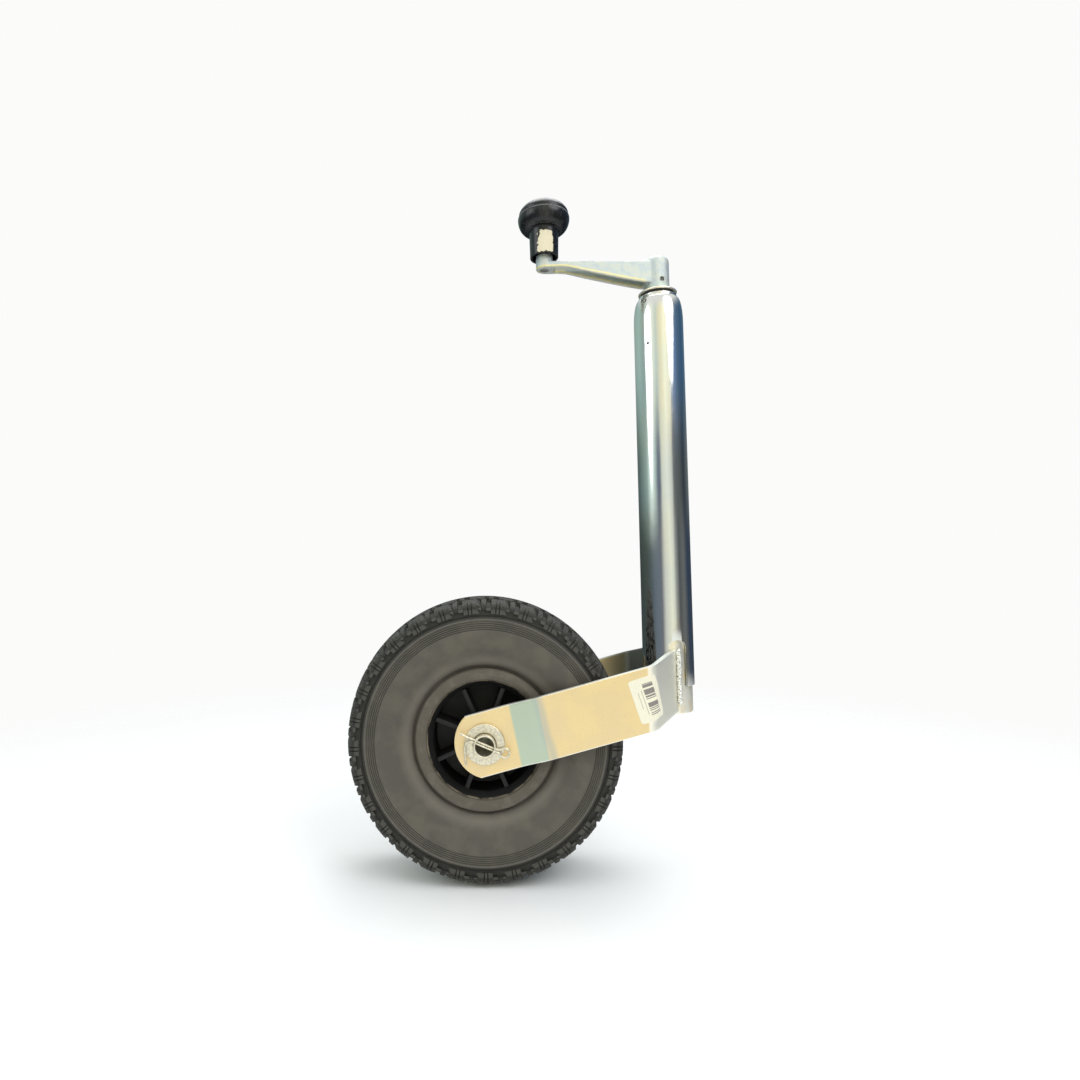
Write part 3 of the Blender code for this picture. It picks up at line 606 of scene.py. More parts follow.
outline += rounded(
    [
        (BRIM_R, HEAD_UNDER, 0), (STEM_R + 0.4 * MM, HEAD_UNDER - 0.3 * MM, 0.8 * MM),
        (STEM_R - 0.2 * MM, knob_low.z, 0.5 * MM), (STEM_BORE_R, knob_low.z, 0.5 * MM),
        (STEM_BORE_R, stem_floor, MM), (STUD_R + GAP, stem_floor, 0.3 * MM), (STUD_R + GAP, seat, 0.3 * MM),
        (11 * MM, seat, MM), (11 * MM, cap_low.z - GAP, 0.3 * MM),
        (CAP_R + GAP, cap_low.z - GAP, 0),
    ],
    3, closed=False,
)
gloss = Finish("glossy_black", Specular_IOR_Level=0.4)
scuff = gloss.grain(3 * MM, 4, (1, 1, 1.6))
fine = gloss.grain(0.5 * MM, 2)
knob_x = -arm_reach
local = gloss.at(Location=(knob_x, 0, 0))
side = gloss.axis("X", local)
front = gloss.axis("Y", local)
height = gloss.axis("Z", local)
ragged = gloss.grain(3.2 * MM, 4, (1, 1, 1.3)) * (9 * MM)
inside = (8.4 * MM - (height - 428 * MM) * 0.08 - abs(side - 0.3 * MM)) + (ragged - 4.5 * MM)
above = (height - 428.6 * MM) + (ragged - 4.5 * MM) * 0.5
below = (450.0 * MM - height) + (ragged - 4.5 * MM) * 0.7
on_front = 1 - front.step(-12.2 * MM, -11.6 * MM)
paper = inside.step(0, 0.25 * MM) * above.step(0, 0.25 * MM) * below.step(0, 0.25 * MM) * on_front
black = gloss.mix(scuff.step(0.5, 0.8), (0.010, 0.010, 0.011), (0.035, 0.034, 0.033))
scrap = gloss.mix(fine.step(0.4, 0.65), (0.88, 0.80, 0.60), (0.78, 0.69, 0.50))
gloss.feed("Base Color", gloss.mix(paper, black, scrap))
gloss.feed("Roughness", 0.24 + scuff.step(0.45, 0.8) * 0.2 + paper * 0.6)
gloss.relief(paper * (0.10 * MM) + scuff * (0.02 * MM) + fine * paper * (0.06 * MM))
head = show("knob_moulding", turned(outline, 128, place=knob_place), gloss)
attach(head, "knob_grip")
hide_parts("knob")

outline = [Vector((0, cap_high.z))]
for k in range(1, 12):
    turn = math.radians(90 - 75 * k / 12)
    outline.append(Vector((CAP_R * math.cos(turn), cap_low.z + (cap_high.z - cap_low.z) * math.sin(turn))))
brim = [(*outline[-1], 0), (CAP_R, cap_low.z + MM, 0.3 * MM), (CAP_R, cap_low.z, 0.3 * MM), (0, cap_low.z, 0)]
outline += rounded(brim, 3, False)[1:]
cap = show("knob_top_cap", turned(outline, 96, closed=False, place=knob_place), gloss)
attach(cap, "knob_grip")
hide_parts("knob_cap")

stud_low, stud_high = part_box("knob_stud")
under_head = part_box("knob_washer")[1].z + 0.4 * MM
outline = rounded(
    [
        (0, stud_high.z, 0), (5.6 * MM, stud_high.z, 1.2 * MM), (5.6 * MM, under_head, 0.3 * MM),
        (STUD_R, under_head, 0), (STUD_R, 433.3 * MM, 0), (6.5 * MM, 433.3 * MM, 0.4 * MM),
        (6.5 * MM, 430.3 * MM, 0.4 * MM), (STUD_R, 430.3 * MM, 0), (STUD_R, stud_low.z, 0.5 * MM),
        (0, stud_low.z, 0),
    ],
    3, closed=False,
)
stud = show("knob_rivet_stud", turned(outline, 40, closed=False, place=knob_place), steel)
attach(stud, "crank_drive")
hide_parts("knob_stud")
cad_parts["knob_washer"].data.materials[0] = steel.material

# ---------------------------------------------------------------------------------------------- fork
# Two arms of 56 x 4.5 mm flat bar, sheared, joggled past the wheel's hub and bent in to the leg. They are
# zinc plated with a pale yellow passivation; the grey green on the joggle's slope is a painted reflection.
ARM_SLOPE = math.radians(15)
STRIP_HALF = 27.8 * MM
STRIP_T = 4.5 * MM
JOG_START = 26 * MM
JOG_END = 57 * MM
TIP_RADIUS = 32 * MM
TIP_REACH = 27 * MM
TIP_Y = 48 * MM
BEND_X = -27 * MM
BEND_RADIUS = 9 * MM
BEND_ANGLE = math.radians(46.8)
WELD_X = 3.9 * MM
AXLE_R = 10 * MM

arm_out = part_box("fork_arm_far")[1].y
axle_low, axle_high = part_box("axle_tube")
hub = (axle_low + axle_high) / 2


def strip_place(u, v, side, lift=0.0):
    """A point of the arm: u from the axle towards the column, v across the bar, lift off its middle."""
    x = hub.x + u * math.cos(ARM_SLOPE) - v * math.sin(ARM_SLOPE)
    z = hub.z + u * math.sin(ARM_SLOPE) + v * math.cos(ARM_SLOPE)
    middle = arm_out - STRIP_T / 2
    along = min(max((u - JOG_START) / (JOG_END - JOG_START), 0), 1)
    y = TIP_Y - STRIP_T / 2 + (arm_out - TIP_Y) * along * along * (3 - 2 * along)
    start = BEND_X - BEND_RADIUS * math.tan(BEND_ANGLE / 2)
    turn = min(max(x - start, 0) / BEND_RADIUS, BEND_ANGLE)
    if turn > 0:
        rest = max(x - start - BEND_RADIUS * BEND_ANGLE, 0)
        x = start + BEND_RADIUS * math.sin(turn) + rest * math.cos(BEND_ANGLE)
        y = middle - BEND_RADIUS * (1 - math.cos(turn)) - rest * math.sin(BEND_ANGLE)
    return Vector((x + lift * math.sin(turn), side * (y + lift * math.cos(turn)), z))


def arm_blank(side):
    """The bar's middle surface, with its round tip."""
    stations = [22, JOG_START / MM - 2]
    stations += [JOG_START / MM + i * (JOG_END - JOG_START) / MM / 14 for i in range(15)]
    stations += [62, 80, 100, 120, 138] + [142 + 1.25 * i for i in range(27)] + [184, 196, 208]
    tip = 9
    columns = tip + len(stations)
    shape = bmesh.new()
    bmesh.ops.create_grid(shape, x_segments=columns - 1, y_segments=24, size=1)
    centre = TIP_RADIUS - TIP_REACH
    for vert in shape.verts:
        i = round((vert.co.x + 1) / 2 * (columns - 1))
        v = vert.co.y * STRIP_HALF
        start = centre - math.sqrt(TIP_RADIUS**2 - v**2)
        u = start + (20 * MM - start) * i / tip if i < tip else stations[i - tip] * MM
        vert.co = strip_place(u, v, side)
    return shape


def past_weld(side):
    """The bar's spare end, beyond the weld."""
    shape = bmesh.new()
    for vert in bmesh.ops.create_cube(shape, size=2)["verts"]:
        x = 60 * MM if vert.co.x > 0 else WELD_X - 3.2 * MM
        vert.co = (x, side * (23.7 + 20 * vert.co.y) * MM, vert.co.z * 120 * MM)
    bmesh.ops.recalc_face_normals(shape, faces=shape.faces)
    return shape


yellow = Finish("yellow_zinc", Metallic=0.8)
place = yellow.at(Location=hub, Rotation=(0, -ARM_SLOPE, 0))
along = yellow.axis("X", place)
sand = yellow.grain(0.5 * MM, 2, rough=0.7)
flecks = yellow.grain(1.6 * MM, 3)
cloud = yellow.grain(26 * MM, 3)
wander = (cloud - 0.5) * (14 * MM)
skew = yellow.axis("Z", place) * -0.06
# The joggle's slope is tinted grey green as a painted reflection.
joggle_reflection = (along + skew).band(28.5 * MM, 54 * MM, 1.2 * MM)
# A blue-grey band just past the joggle is a painted shadow.
joggle_shadow = (along + wander * 0.4).band(52 * MM, 60 * MM, 3 * MM)
# Past the bend, the bent-in end is tinted pale grey as a painted reflection.
return_reflection = yellow.axis("X").step(BEND_X - 3.5 * MM, BEND_X + 0.5 * MM)
tint = yellow.mix(cloud.step(0.38, 0.62), (0.84, 0.66, 0.35), (0.80, 0.63, 0.36))
tint = yellow.mix(sand.step(0.52, 0.7) * 0.5, tint, (0.92, 0.77, 0.48))
tint = yellow.mix(flecks.step(0.60, 0.72) * 0.3, tint, (0.60, 0.48, 0.25))
tint = yellow.mix(joggle_reflection * 0.9, tint, (0.45, 0.56, 0.46))
# The sheared edges of the bar are painted near white as a highlight.
across = abs(yellow.axis("Z", place))
sheared_edge_highlight = across.step(27.0 * MM, 27.6 * MM)
tint = yellow.mix(sheared_edge_highlight * 0.8, tint, (1.0, 1.0, 0.96))
# A near-white band at the bend is a painted highlight.
bend_highlight = yellow.axis("X").band(BEND_X - 5 * MM, BEND_X - 0.5 * MM, 1.2 * MM)
tint = yellow.mix(bend_highlight * 0.7, tint, (1.0, 1.0, 0.95))
tint = yellow.mix(joggle_shadow * 0.55, tint, (0.42, 0.47, 0.46))
tint = yellow.mix(return_reflection * 0.85, tint, (0.84, 0.85, 0.78))
shade = yellow.axis("Y").step(0, 20 * MM) * yellow.axis("X").step(-75 * MM, -35 * MM)
tint = yellow.mix(shade * 0.8, tint, (0.04, 0.06, 0.055))
yellow.feed("Base Color", tint)
yellow.feed("Roughness", 0.40 + sand * 0.22 - joggle_reflection * 0.1)
yellow.relief(sand * (0.035 * MM) + flecks * (0.05 * MM) + cloud * (0.3 * MM))

WHEEL_AXIS = Matrix.Rotation(math.pi / 2, 4, "X")


def on_axle(y):
    """Where a turned piece goes on the wheel's axis, its own +Z towards the near side."""
    return Matrix.Translation((hub.x, y, hub.z)) @ WHEEL_AXIS


for side, label in ((-1, "near"), (1, "far")):
    arm = show(f"fork_bar_{label}", arm_blank(side), yellow)
    plate = arm.modifiers.new("plate", "SOLIDIFY")
    plate.thickness = STRIP_T
    plate.offset = 0
    plate.use_even_offset = True
    settle(arm)
    hole = drill(AXLE_R + GAP, -10 * MM, 10 * MM, on_axle(side * (TIP_Y - STRIP_T / 2)), 96)
    carve(arm, hole, drill(inner_r + GAP, -90 * MM, 130 * MM, steps=128), past_weld(side))
    soften(arm, 0.5 * MM, 40)
    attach(arm, "sliding_leg")
    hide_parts(f"fork_arm_{label}")

# --------------------------------------------------------------------------------------------- welds
# A hand-laid bead along each arm's end, where the bar meets the leg. It has overlapping ripples with dark
# pits between them, and it is zinc plated with the rest.
bead_metal = Finish("weld_bead", Metallic=0.85)
crust = bead_metal.grain(1.2 * MM, 4, rough=0.7)
bead_metal.feed("Base Color", bead_metal.mix(crust.step(0.50, 0.62), (0.96, 0.96, 0.90), (0.22, 0.20, 0.17)))
bead_metal.feed("Roughness", 0.26 + crust * 0.35)
bead_metal.relief(crust * (0.4 * MM))
WELD_Y = 23.6 * MM
for side, label in ((-1, "near"), (1, "far")):
    low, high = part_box(f"weld_{label}")
    bead = bmesh.new()
    half = (high.z - low.z) / 2
    for vert in bmesh.ops.create_uvsphere(bead, u_segments=24, v_segments=150, radius=1)["verts"]:
        turn = math.atan2(vert.co.y, vert.co.x)
        z = math.asin(max(min(vert.co.z, 1), -1)) / (math.pi / 2)
        full = min(1, math.cos(z * math.pi / 2) * 5)
        ripple = 0.16 * abs(math.sin(z * 26 + 0.5 * math.cos(turn)))
        rough = 0.55 * noise.noise(Vector((turn * 1.2, z * 16, side * 3)))
        radius = 2.15 * MM * full * (1 + ripple + rough * 0.75)
        sway = 0.8 * MM * noise.noise(Vector((z * 9, side, 0)))
        vert.co = (
            WELD_X + sway + radius * math.cos(turn) * 0.95,
            side * WELD_Y + radius * math.sin(turn) * 0.8,
            (low.z + high.z) / 2 + z * half,
        )
    bmesh.ops.recalc_face_normals(bead, faces=bead.faces)
    weld = show(f"weld_bead_{label}", bead, bead_metal, 80)
    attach(weld, "sliding_leg")
    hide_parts(f"weld_{label}")

# --------------------------------------------------------------------------------------------- label
# A small paper sticker glued on the near arm, lapping over the bend. Its print is plain bars and rules.
# It has no CAD node of its own.
LABEL_U = 151 * MM
LABEL_V = 0.8 * MM
LABEL_HALF_U = 12.4 * MM
LABEL_HALF_V = 19.6 * MM
LABEL_CORNER = 2.6 * MM
LABEL_TILT = math.radians(3)
label_shape = bmesh.new()
bmesh.ops.create_grid(label_shape, x_segments=40, y_segments=60, size=1)
for vert in label_shape.verts:
    u = vert.co.x * LABEL_HALF_U
    v = vert.co.y * LABEL_HALF_V
    du = abs(u) - (LABEL_HALF_U - LABEL_CORNER)
    dv = abs(v) - (LABEL_HALF_V - LABEL_CORNER)
    if du > 0 and dv > 0:
        pull = max(du, dv) / math.hypot(du, dv)
        u = math.copysign(LABEL_HALF_U - LABEL_CORNER + du * pull, u)
        v = math.copysign(LABEL_HALF_V - LABEL_CORNER + dv * pull, v)
    turned_u = u * math.cos(LABEL_TILT) - v * math.sin(LABEL_TILT)
    turned_v = u * math.sin(LABEL_TILT) + v * math.cos(LABEL_TILT)
    vert.co = strip_place(LABEL_U + turned_u, LABEL_V + turned_v, -1, STRIP_T / 2 + 0.08 * MM)
paper = Finish("sticker_paper", Specular_IOR_Level=0.35)
centre = strip_place(LABEL_U, LABEL_V, -1)
local = paper.at(Location=centre, Rotation=(0, -ARM_SLOPE - LABEL_TILT, 0))
u = paper.axis("X", local)
v = paper.axis("Z", local)
steps = paper.add("Math", {"operation": "FLOOR"}, {0: v * (1 / (0.8 * MM))})
random_bar = paper.add("TexWhiteNoise", {"noise_dimensions": "1D"}, {"W": steps}, out="Value")
block = u.band(-1.2 * MM, 8.4 * MM, 0.15 * MM) * v.band(-15 * MM, 14 * MM, 0.15 * MM)
bars = random_bar.step(0.42, 0.44) * block
rules = u.band(-3.6 * MM, -2.9 * MM, 0.1 * MM) * v.band(-13 * MM, 9 * MM, 0.2 * MM)
rules = rules + u.band(-6.9 * MM, -6.3 * MM, 0.1 * MM) * v.band(-7 * MM, 8 * MM, 0.2 * MM)
fibre = paper.grain(0.8 * MM, 3)
sheet = paper.mix(fibre.step(0.4, 0.7), (0.86, 0.82, 0.66), (0.80, 0.75, 0.60))
ink = bars * 0.8 + rules * 0.45
paper.feed("Base Color", paper.mix(ink, sheet, (0.10, 0.08, 0.10)))
paper.feed("Roughness", 0.45 + fibre * 0.2)
paper.relief(fibre * (0.02 * MM))
sticker = show("arm_sticker", label_shape, paper)
leaf = sticker.modifiers.new("leaf", "SOLIDIFY")
leaf.thickness = 0.12 * MM
leaf.offset = 0
settle(sticker)
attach(sticker, "sliding_leg")

# ------------------------------------------------------------------------------- axle and its washers
# A length of steel tube through both arms, zinc plated, with a flat washer outside each arm and a spacer
# inside it. A split pin through each end keeps the washers on, one leg straight and one bent round.
plated = Finish("plated_steel", Metallic=0.95)
scratch = plated.grain(0.7 * MM, 3, (1, 1, 1), 0.6)
cloud = plated.grain(2.2 * MM, 3)
tint = plated.mix(cloud.step(0.4, 0.62), (0.78, 0.72, 0.56), (0.60, 0.56, 0.46))
plated.feed("Base Color", plated.mix(scratch.step(0.58, 0.7) * 0.6, tint, (0.85, 0.86, 0.84)))
plated.feed("Roughness", 0.26 + scratch * 0.3)
plated.relief(scratch * (0.06 * MM))

AXLE_BORE_R = 8.4 * MM
COTTER_HOLE_R = 2.4 * MM
COTTER_Y = 53.6 * MM
COTTER_TURN = math.radians(22.5)
outline = rounded(
    [
        (AXLE_R, axle_high.y, 0.8 * MM), (AXLE_R, axle_low.y, 0.8 * MM),
        (AXLE_BORE_R, axle_low.y, 0.6 * MM), (AXLE_BORE_R, axle_high.y, 0.6 * MM),
    ]
)
axle = show("axle_pipe", turned(outline, 96, place=on_axle(0)), plated)
cross = []
for side in (-1, 1):
    turn = Matrix.Rotation(-(math.pi / 2 - COTTER_TURN), 4, "Y")
    where = Matrix.Translation((hub.x, side * COTTER_Y, hub.z)) @ turn
    cross.append(drill(COTTER_HOLE_R, -15 * MM, 15 * MM, where, 32))
carve(axle, *cross)
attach(axle, "sliding_leg")
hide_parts("axle_tube")

for kind, bore_r, edge in (("axle_washer", 10.6 * MM, 0.8 * MM), ("hub_spacer", AXLE_R + GAP, 0.4 * MM)):
    for label in ("near", "far"):
        low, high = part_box(f"{kind}_{label}")
        outer = (high.x - low.x) / 2
        half = (high.y - low.y) / 2
        hole = [(bore_r, -half, 0.3 * MM), (bore_r, half, 0.3 * MM)]
        outline = rounded([(outer, half, edge), (outer, -half, edge), *hole], 4)
        ring = show(f"{kind}_disc_{label}", turned(outline, 96, place=on_axle((low.y + high.y) / 2)), plated)
        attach(ring, "sliding_leg")
        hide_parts(f"{kind}_{label}")

WIRE_R = 0.95 * MM
PIN_BEND_R = 5.5
PIN_TAIL = 14
apart = WIRE_R / MM + 0.15
route = [(-24.5, 1.5), (-18, apart), (-11, apart), (0, apart), (12, apart)]
for i in range(25):
    turn = math.radians(155 - 310 * i / 24)
    route.append((18.9 + 4.2 * math.cos(turn), 0.8 + 4.2 * math.sin(turn)))
route += [(12, -apart), (0, -apart)]
for i in range(15):
    turn = math.radians(118 * i / 14)
    route.append((-10.7 - PIN_BEND_R * math.sin(turn), -apart - PIN_BEND_R * (1 - math.cos(turn))))
route.append((route[-1][0] - PIN_TAIL * math.cos(turn), route[-1][1] - PIN_TAIL * math.sin(turn)))
for side, label in ((-1, "near"), (1, "far")):
    wire = bpy.data.curves.new(f"cotter_wire_{label}", "CURVE")
    wire.dimensions = "3D"
    wire.bevel_depth = WIRE_R
    wire.bevel_resolution = 4
    wire.use_fill_caps = True
    run = wire.splines.new("POLY")
    run.points.add(len(route) - 1)
    for point, (away, up) in zip(run.points, route):
        x = away * math.cos(COTTER_TURN) + up * math.sin(COTTER_TURN)
        z = up * math.cos(COTTER_TURN) - away * math.sin(COTTER_TURN)
        point.co = (hub.x + x * MM, side * COTTER_Y, hub.z + z * MM, 1)
    cotter = bpy.data.objects.new(f"cotter_wire_{label}", wire)
    bpy.context.scene.collection.objects.link(cotter)
    graph = bpy.context.evaluated_depsgraph_get()
    wire_shape = bmesh.new()
    wire_shape.from_mesh(bpy.data.meshes.new_from_object(cotter.evaluated_get(graph)))
    bmesh.ops.remove_doubles(wire_shape, verts=wire_shape.verts, dist=0.001 * MM)
    bmesh.ops.recalc_face_normals(wire_shape, faces=wire_shape.faces)
    bpy.data.objects.remove(cotter)
    cotter = show(f"cotter_pin_{label}", wire_shape, plated, 50)
    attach(cotter, "sliding_leg")
    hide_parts(f"split_pin_{label}")

# ----------------------------------------------------------------------------------------------- rim
# A moulded polypropylene wheel: a hub, a web in its middle plane, eight ribs, a barrel and two rounded
# flanges. The dark grey has gone brown with dust, and its edges are worn pale. Away from the flange ring
# the moulding is painted near black as shade.
RIM_OPENING_R = 53.3 * MM
BARREL_R = 50.5 * MM
BARREL_BORE_R = 48.2 * MM
RIM_HUB_R = 19 * MM
RIM_BORE_R = 12.5 * MM
RIB_COUNT = 8
RIB_TURN = math.radians(1.7)
RIB_FACE = 28 * MM
RIB_HALF = 2.0 * MM
WEB_HALF = 3 * MM
rim_low, rim_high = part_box("rim")
lip_r = (rim_high.x - rim_low.x) / 2
hub_face = rim_high.y
rim_face = 34.5 * MM
half_rim = [
    (RIM_BORE_R, hub_face, 0.5 * MM), (RIM_HUB_R, hub_face, 1.2 * MM),
    (RIM_HUB_R + 0.6 * MM, WEB_HALF, 1.5 * MM),
    (BARREL_BORE_R - 0.6 * MM, WEB_HALF, 1.5 * MM), (BARREL_BORE_R, rim_face - 9 * MM, 2 * MM),
    (RIM_OPENING_R, rim_face - 3.2 * MM, 1.2 * MM), (RIM_OPENING_R + 1.2 * MM, rim_face - 0.9 * MM, 0.8 * MM),
    (RIM_OPENING_R + 4.5 * MM, rim_face, 3 * MM), (lip_r - 1.4 * MM, rim_face - 0.4 * MM, 1.3 * MM),
    (lip_r, rim_face - 2.4 * MM, 0.8 * MM), (lip_r - 0.6 * MM, rim_face - 3.6 * MM, 0.5 * MM),
    (BARREL_R, rim_face - 8 * MM, 2 * MM),
]
plastic = Finish("rim_plastic", Specular_IOR_Level=0.4)
flow = plastic.grain(9 * MM, 4)
fine = plastic.grain(0.9 * MM, 3)
place = plastic.at(Location=hub)
out_x = plastic.axis("X", place)
out_z = plastic.axis("Z", place)
radius = (out_x * out_x + out_z * out_z) ** 0.5
depth = abs(plastic.axis("Y", place))
edge = radius + (fine - 0.5) * (0.25 * MM)
edge = edge.band(RIM_OPENING_R - 0.5 * MM, RIM_OPENING_R + 0.35 * MM, 0.35 * MM)
worn = edge * depth.step(rim_face - 5 * MM, rim_face - 2.5 * MM) * flow.step(0.3, 0.55)
# Only the flange ring gets the dusty brown. Everywhere else, down in the barrel, the ribs and the web, the
# near black is painted shade.
dust_outside_well_shade = depth.step(30 * MM, 31.5 * MM) * radius.step(53.2 * MM, 53.8 * MM)
tint = plastic.mix(dust_outside_well_shade, (0.004, 0.004, 0.004), (0.095, 0.082, 0.063))
tint = plastic.mix(flow.step(0.45, 0.7) * dust_outside_well_shade, tint, (0.125, 0.108, 0.085))
tint = plastic.mix(fine.step(0.6, 0.75) * 0.35 * dust_outside_well_shade, tint, (0.20, 0.18, 0.15))
plastic.feed("Base Color", plastic.mix(worn * 0.8, tint, (0.34, 0.28, 0.20)))
plastic.feed("Roughness", 0.40 + flow * 0.2 + fine * 0.1)
plastic.relief(fine * (0.08 * MM) + flow * (0.25 * MM))

outline = rounded(half_rim + [(r, -y, f) for r, y, f in reversed(half_rim)], 4)
rim = show("wheel_rim", turned(outline, 128, place=on_axle(0)), plastic)
ribs = bmesh.new()
for i in range(RIB_COUNT):
    verts = bmesh.ops.create_cube(ribs, size=2)["verts"]
    for vert in verts:
        outer = vert.co.x > 0
        vert.co.x = BARREL_R - 2 * MM if outer else RIM_HUB_R - 2 * MM
        vert.co.y *= RIB_HALF
        vert.co.z *= RIB_FACE
    turn = Matrix.Rotation(math.tau * (i + 0.5) / RIB_COUNT + RIB_TURN, 3, "Z")
    bmesh.ops.rotate(ribs, cent=(0, 0, 0), matrix=turn, verts=verts)
bmesh.ops.bevel(
    ribs, geom=list(ribs.edges), offset=0.5 * MM, segments=2, profile=0.5, affect="EDGES", material=-1
)
bmesh.ops.transform(ribs, matrix=on_axle(0), verts=ribs.verts)
carve(rim, ribs, operation="UNION")
valve_low, valve_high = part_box("valve_stem")
valve_y = (valve_low.y + valve_high.y) / 2
valve_place = Matrix.Translation((hub.x, valve_y, hub.z)) @ Matrix.Rotation(-math.pi / 2, 4, "Y")
carve(rim, drill(4.5 * MM, 40 * MM, 56 * MM, valve_place, 32))
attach(rim, "wheel")
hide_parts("rim")

for side, label in ((-1, "near"), (1, "far")):
    low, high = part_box(f"wheel_bush_{label}")
    face = max(abs(low.y), abs(high.y))
    flange = (high.x - low.x) / 2
    outline = rounded(
        [
            (AXLE_R + GAP, face, 0.4 * MM), (flange, face, 0.5 * MM), (flange, face - 1.2 * MM, 0.2 * MM),
            (12.2 * MM, face - 1.2 * MM, 0), (12.2 * MM, face - 22 * MM, 0.8 * MM),
            (AXLE_R + GAP, face - 22 * MM, 0.4 * MM),
        ]
    )
    flip = Matrix.Rotation(0 if side < 0 else math.pi, 4, "X")
    bush = show(f"hub_bush_{label}", turned(outline, 64, place=on_axle(0) @ flip), nylon)
    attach(bush, "wheel")
    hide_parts(f"wheel_bush_{label}")

# ---------------------------------------------------------------------------------------------- tyre
# A 260 x 85 rubber tyre with 29 pitches of tread. Each pitch has a shoulder lug with two fine slits on its
# side, a recess and a small block; two staggered rings of blocks run between the shoulders.
PITCHES = 29
PHASES = [0.0, 0.012, 0.165, 0.175, 0.20, 0.21, 0.29, 0.30]
PHASES += [0.325, 0.335, 0.488, 0.50, 0.66, 0.672, 0.83, 0.842]
LUG_END = 0.494
BLOCK_START = 0.666
BLOCK_END = 0.836
SLIT_PHASES = (0.175, 0.20, 0.30, 0.325)
TREAD_DEPTH = 5.2
tyre_r = (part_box("tyre")[1].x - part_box("tyre")[0].x) / 2 / MM


def crown(y):
    """The radius of the tread's face at y, in mm."""
    return tyre_r - 4.0 * (y / 36) ** 2


def tyre_rows():
    """(radius, y, kind, phase shift) of the tyre's outer rows from the crown's middle to the bead, in mm."""
    rows = [(crown(y), y, "centre", 0.25) for y in (0, 3, 5.9)]
    rows += [(crown(y) - TREAD_DEPTH, y, "plain", 0.5) for y in (6.3, 8.6)]
    rows += [(crown(y), y, "centre", 0.75) for y in (9.0, 12, 16, 20.6)]
    rows += [(crown(y) - TREAD_DEPTH, y, "plain", 0.4) for y in (21.0, 23.6)]
    rows += [(crown(y), y, "shoulder", 0) for y in (24.0, 28, 32, 35)]
    lug_top = ((125.4, 36.9), (124.2, 38.0), (122.0, 38.7), (120.0, 39.2))
    rows += [(radius, y, "shoulder", 0) for radius, y in lug_top]
    rows += [(radius, y, "side", 0) for radius, y in ((119.6, 39.3), (117.5, 39.6), (115.4, 39.9))]
    wall = [(114.9, 40.0), (113.9, 40.3), (113.4, 39.6), (112.8, 40.1), (111, 40.7), (110.0, 41.4)]
    wall.append((109.2, 40.9))
    wall += [(108.2 - 0.9 * i, 41.4 + 0.08 * i - (0.0 if i % 2 else 0.7)) for i in range(10)]
    wall += [(99.3, 42.25), (95, 42.3), (90, 42.1), (85, 41.3), (80.5, 39.9), (76.5, 38.2), (72.5, 36.0)]
    wall += [(70, 34.3), (68.2, 32.0), (66.4, 28.8), (58.5, 27.0), (51.2, 25.6), (50.95, 24.5)]
    return rows + [(radius, y, "plain", 0) for radius, y in wall]


def tread_push(kind, phase, radius, y):
    """(outwards, sideways) move of a point of the tread, in mm."""
    lug = phase < LUG_END
    block = BLOCK_START < phase < BLOCK_END
    slit = SLIT_PHASES[0] <= phase <= SLIT_PHASES[1] or SLIT_PHASES[2] <= phase <= SLIT_PHASES[3]
    if kind == "centre":
        return (0, 0) if lug or block else (-TREAD_DEPTH, 0)
    if kind == "shoulder":
        side = min(max((y - 35) / 4, 0), 1)
        if lug:
            cut = 0.9 if slit and y > 36 else 0
            return -cut, (1.1 - cut) * side
        if block:
            return -0.9 * side, -1.0 * side
        return -TREAD_DEPTH * (0.62 - 0.3 * side), -2.4 * side
    if kind == "side":
        return (0, 1.1 - (0.9 if slit else 0)) if lug else (0, 0)
    return 0, 0


outside = tyre_rows()
inside = [(52.4, 17), (60, 25), (72, 32), (84, 34.6), (96, 35), (106, 32.5), (113, 28), (118, 16)]
rows = [(r, -y, "plain", 0) for r, y in reversed(inside)]
rows = [(r, -y, kind, shift) for r, y, kind, shift in outside[:0:-1]] + outside
rows += [(r, y, "plain", 0) for r, y in inside] + [(119.5, 0, "plain", 0)]
rows += [(r, -y, "plain", 0) for r, y in reversed(inside)]
columns = PITCHES * len(PHASES)
shape = turned([(r * MM, y * MM) for r, y, _, _ in rows], columns)
by_place = {}
for row in rows:
    by_place[(round(row[0], 3), round(row[1], 3))] = row
for vert in shape.verts:
    radius = math.hypot(vert.co.x, vert.co.y) / MM
    y = vert.co.z / MM
    row = by_place.get((round(radius, 3), round(y, 3)))
    if row is None:
        row = min(rows, key=lambda r: (r[0] - radius) ** 2 + (r[1] - y) ** 2)
    _, _, kind, shift = row
    index = round(math.atan2(vert.co.y, vert.co.x) / math.tau * columns) % columns
    pitch, step = divmod(index, len(PHASES))
    phase = PHASES[step]
    push_out, push_side = tread_push(kind, phase, radius, abs(y))
    turn = math.tau * (pitch + phase + shift + (0.5 if y > 0 else 0)) / PITCHES
    radius += push_out
    y += math.copysign(push_side, y)
    vert.co = (radius * MM * math.cos(turn), radius * MM * math.sin(turn), y * MM)
bmesh.ops.transform(shape, matrix=on_axle(0), verts=shape.verts)

rubber = Finish("tyre_rubber", Specular_IOR_Level=0.35)
place = rubber.at(Location=hub)
out_x = rubber.axis("X", place)
out_z = rubber.axis("Z", place)
radius = (out_x * out_x + out_z * out_z) ** 0.5
fine = rubber.grain(0.7 * MM, 3)
dust = rubber.grain(16 * MM, 4, rough=0.5)
tint = rubber.mix(dust.step(0.35, 0.7), (0.085, 0.077, 0.063), (0.112, 0.100, 0.080))
shoulder = radius.step(108.5 * MM, 113 * MM)
tint = rubber.mix(shoulder * 0.92, tint, (0.012, 0.012, 0.010))
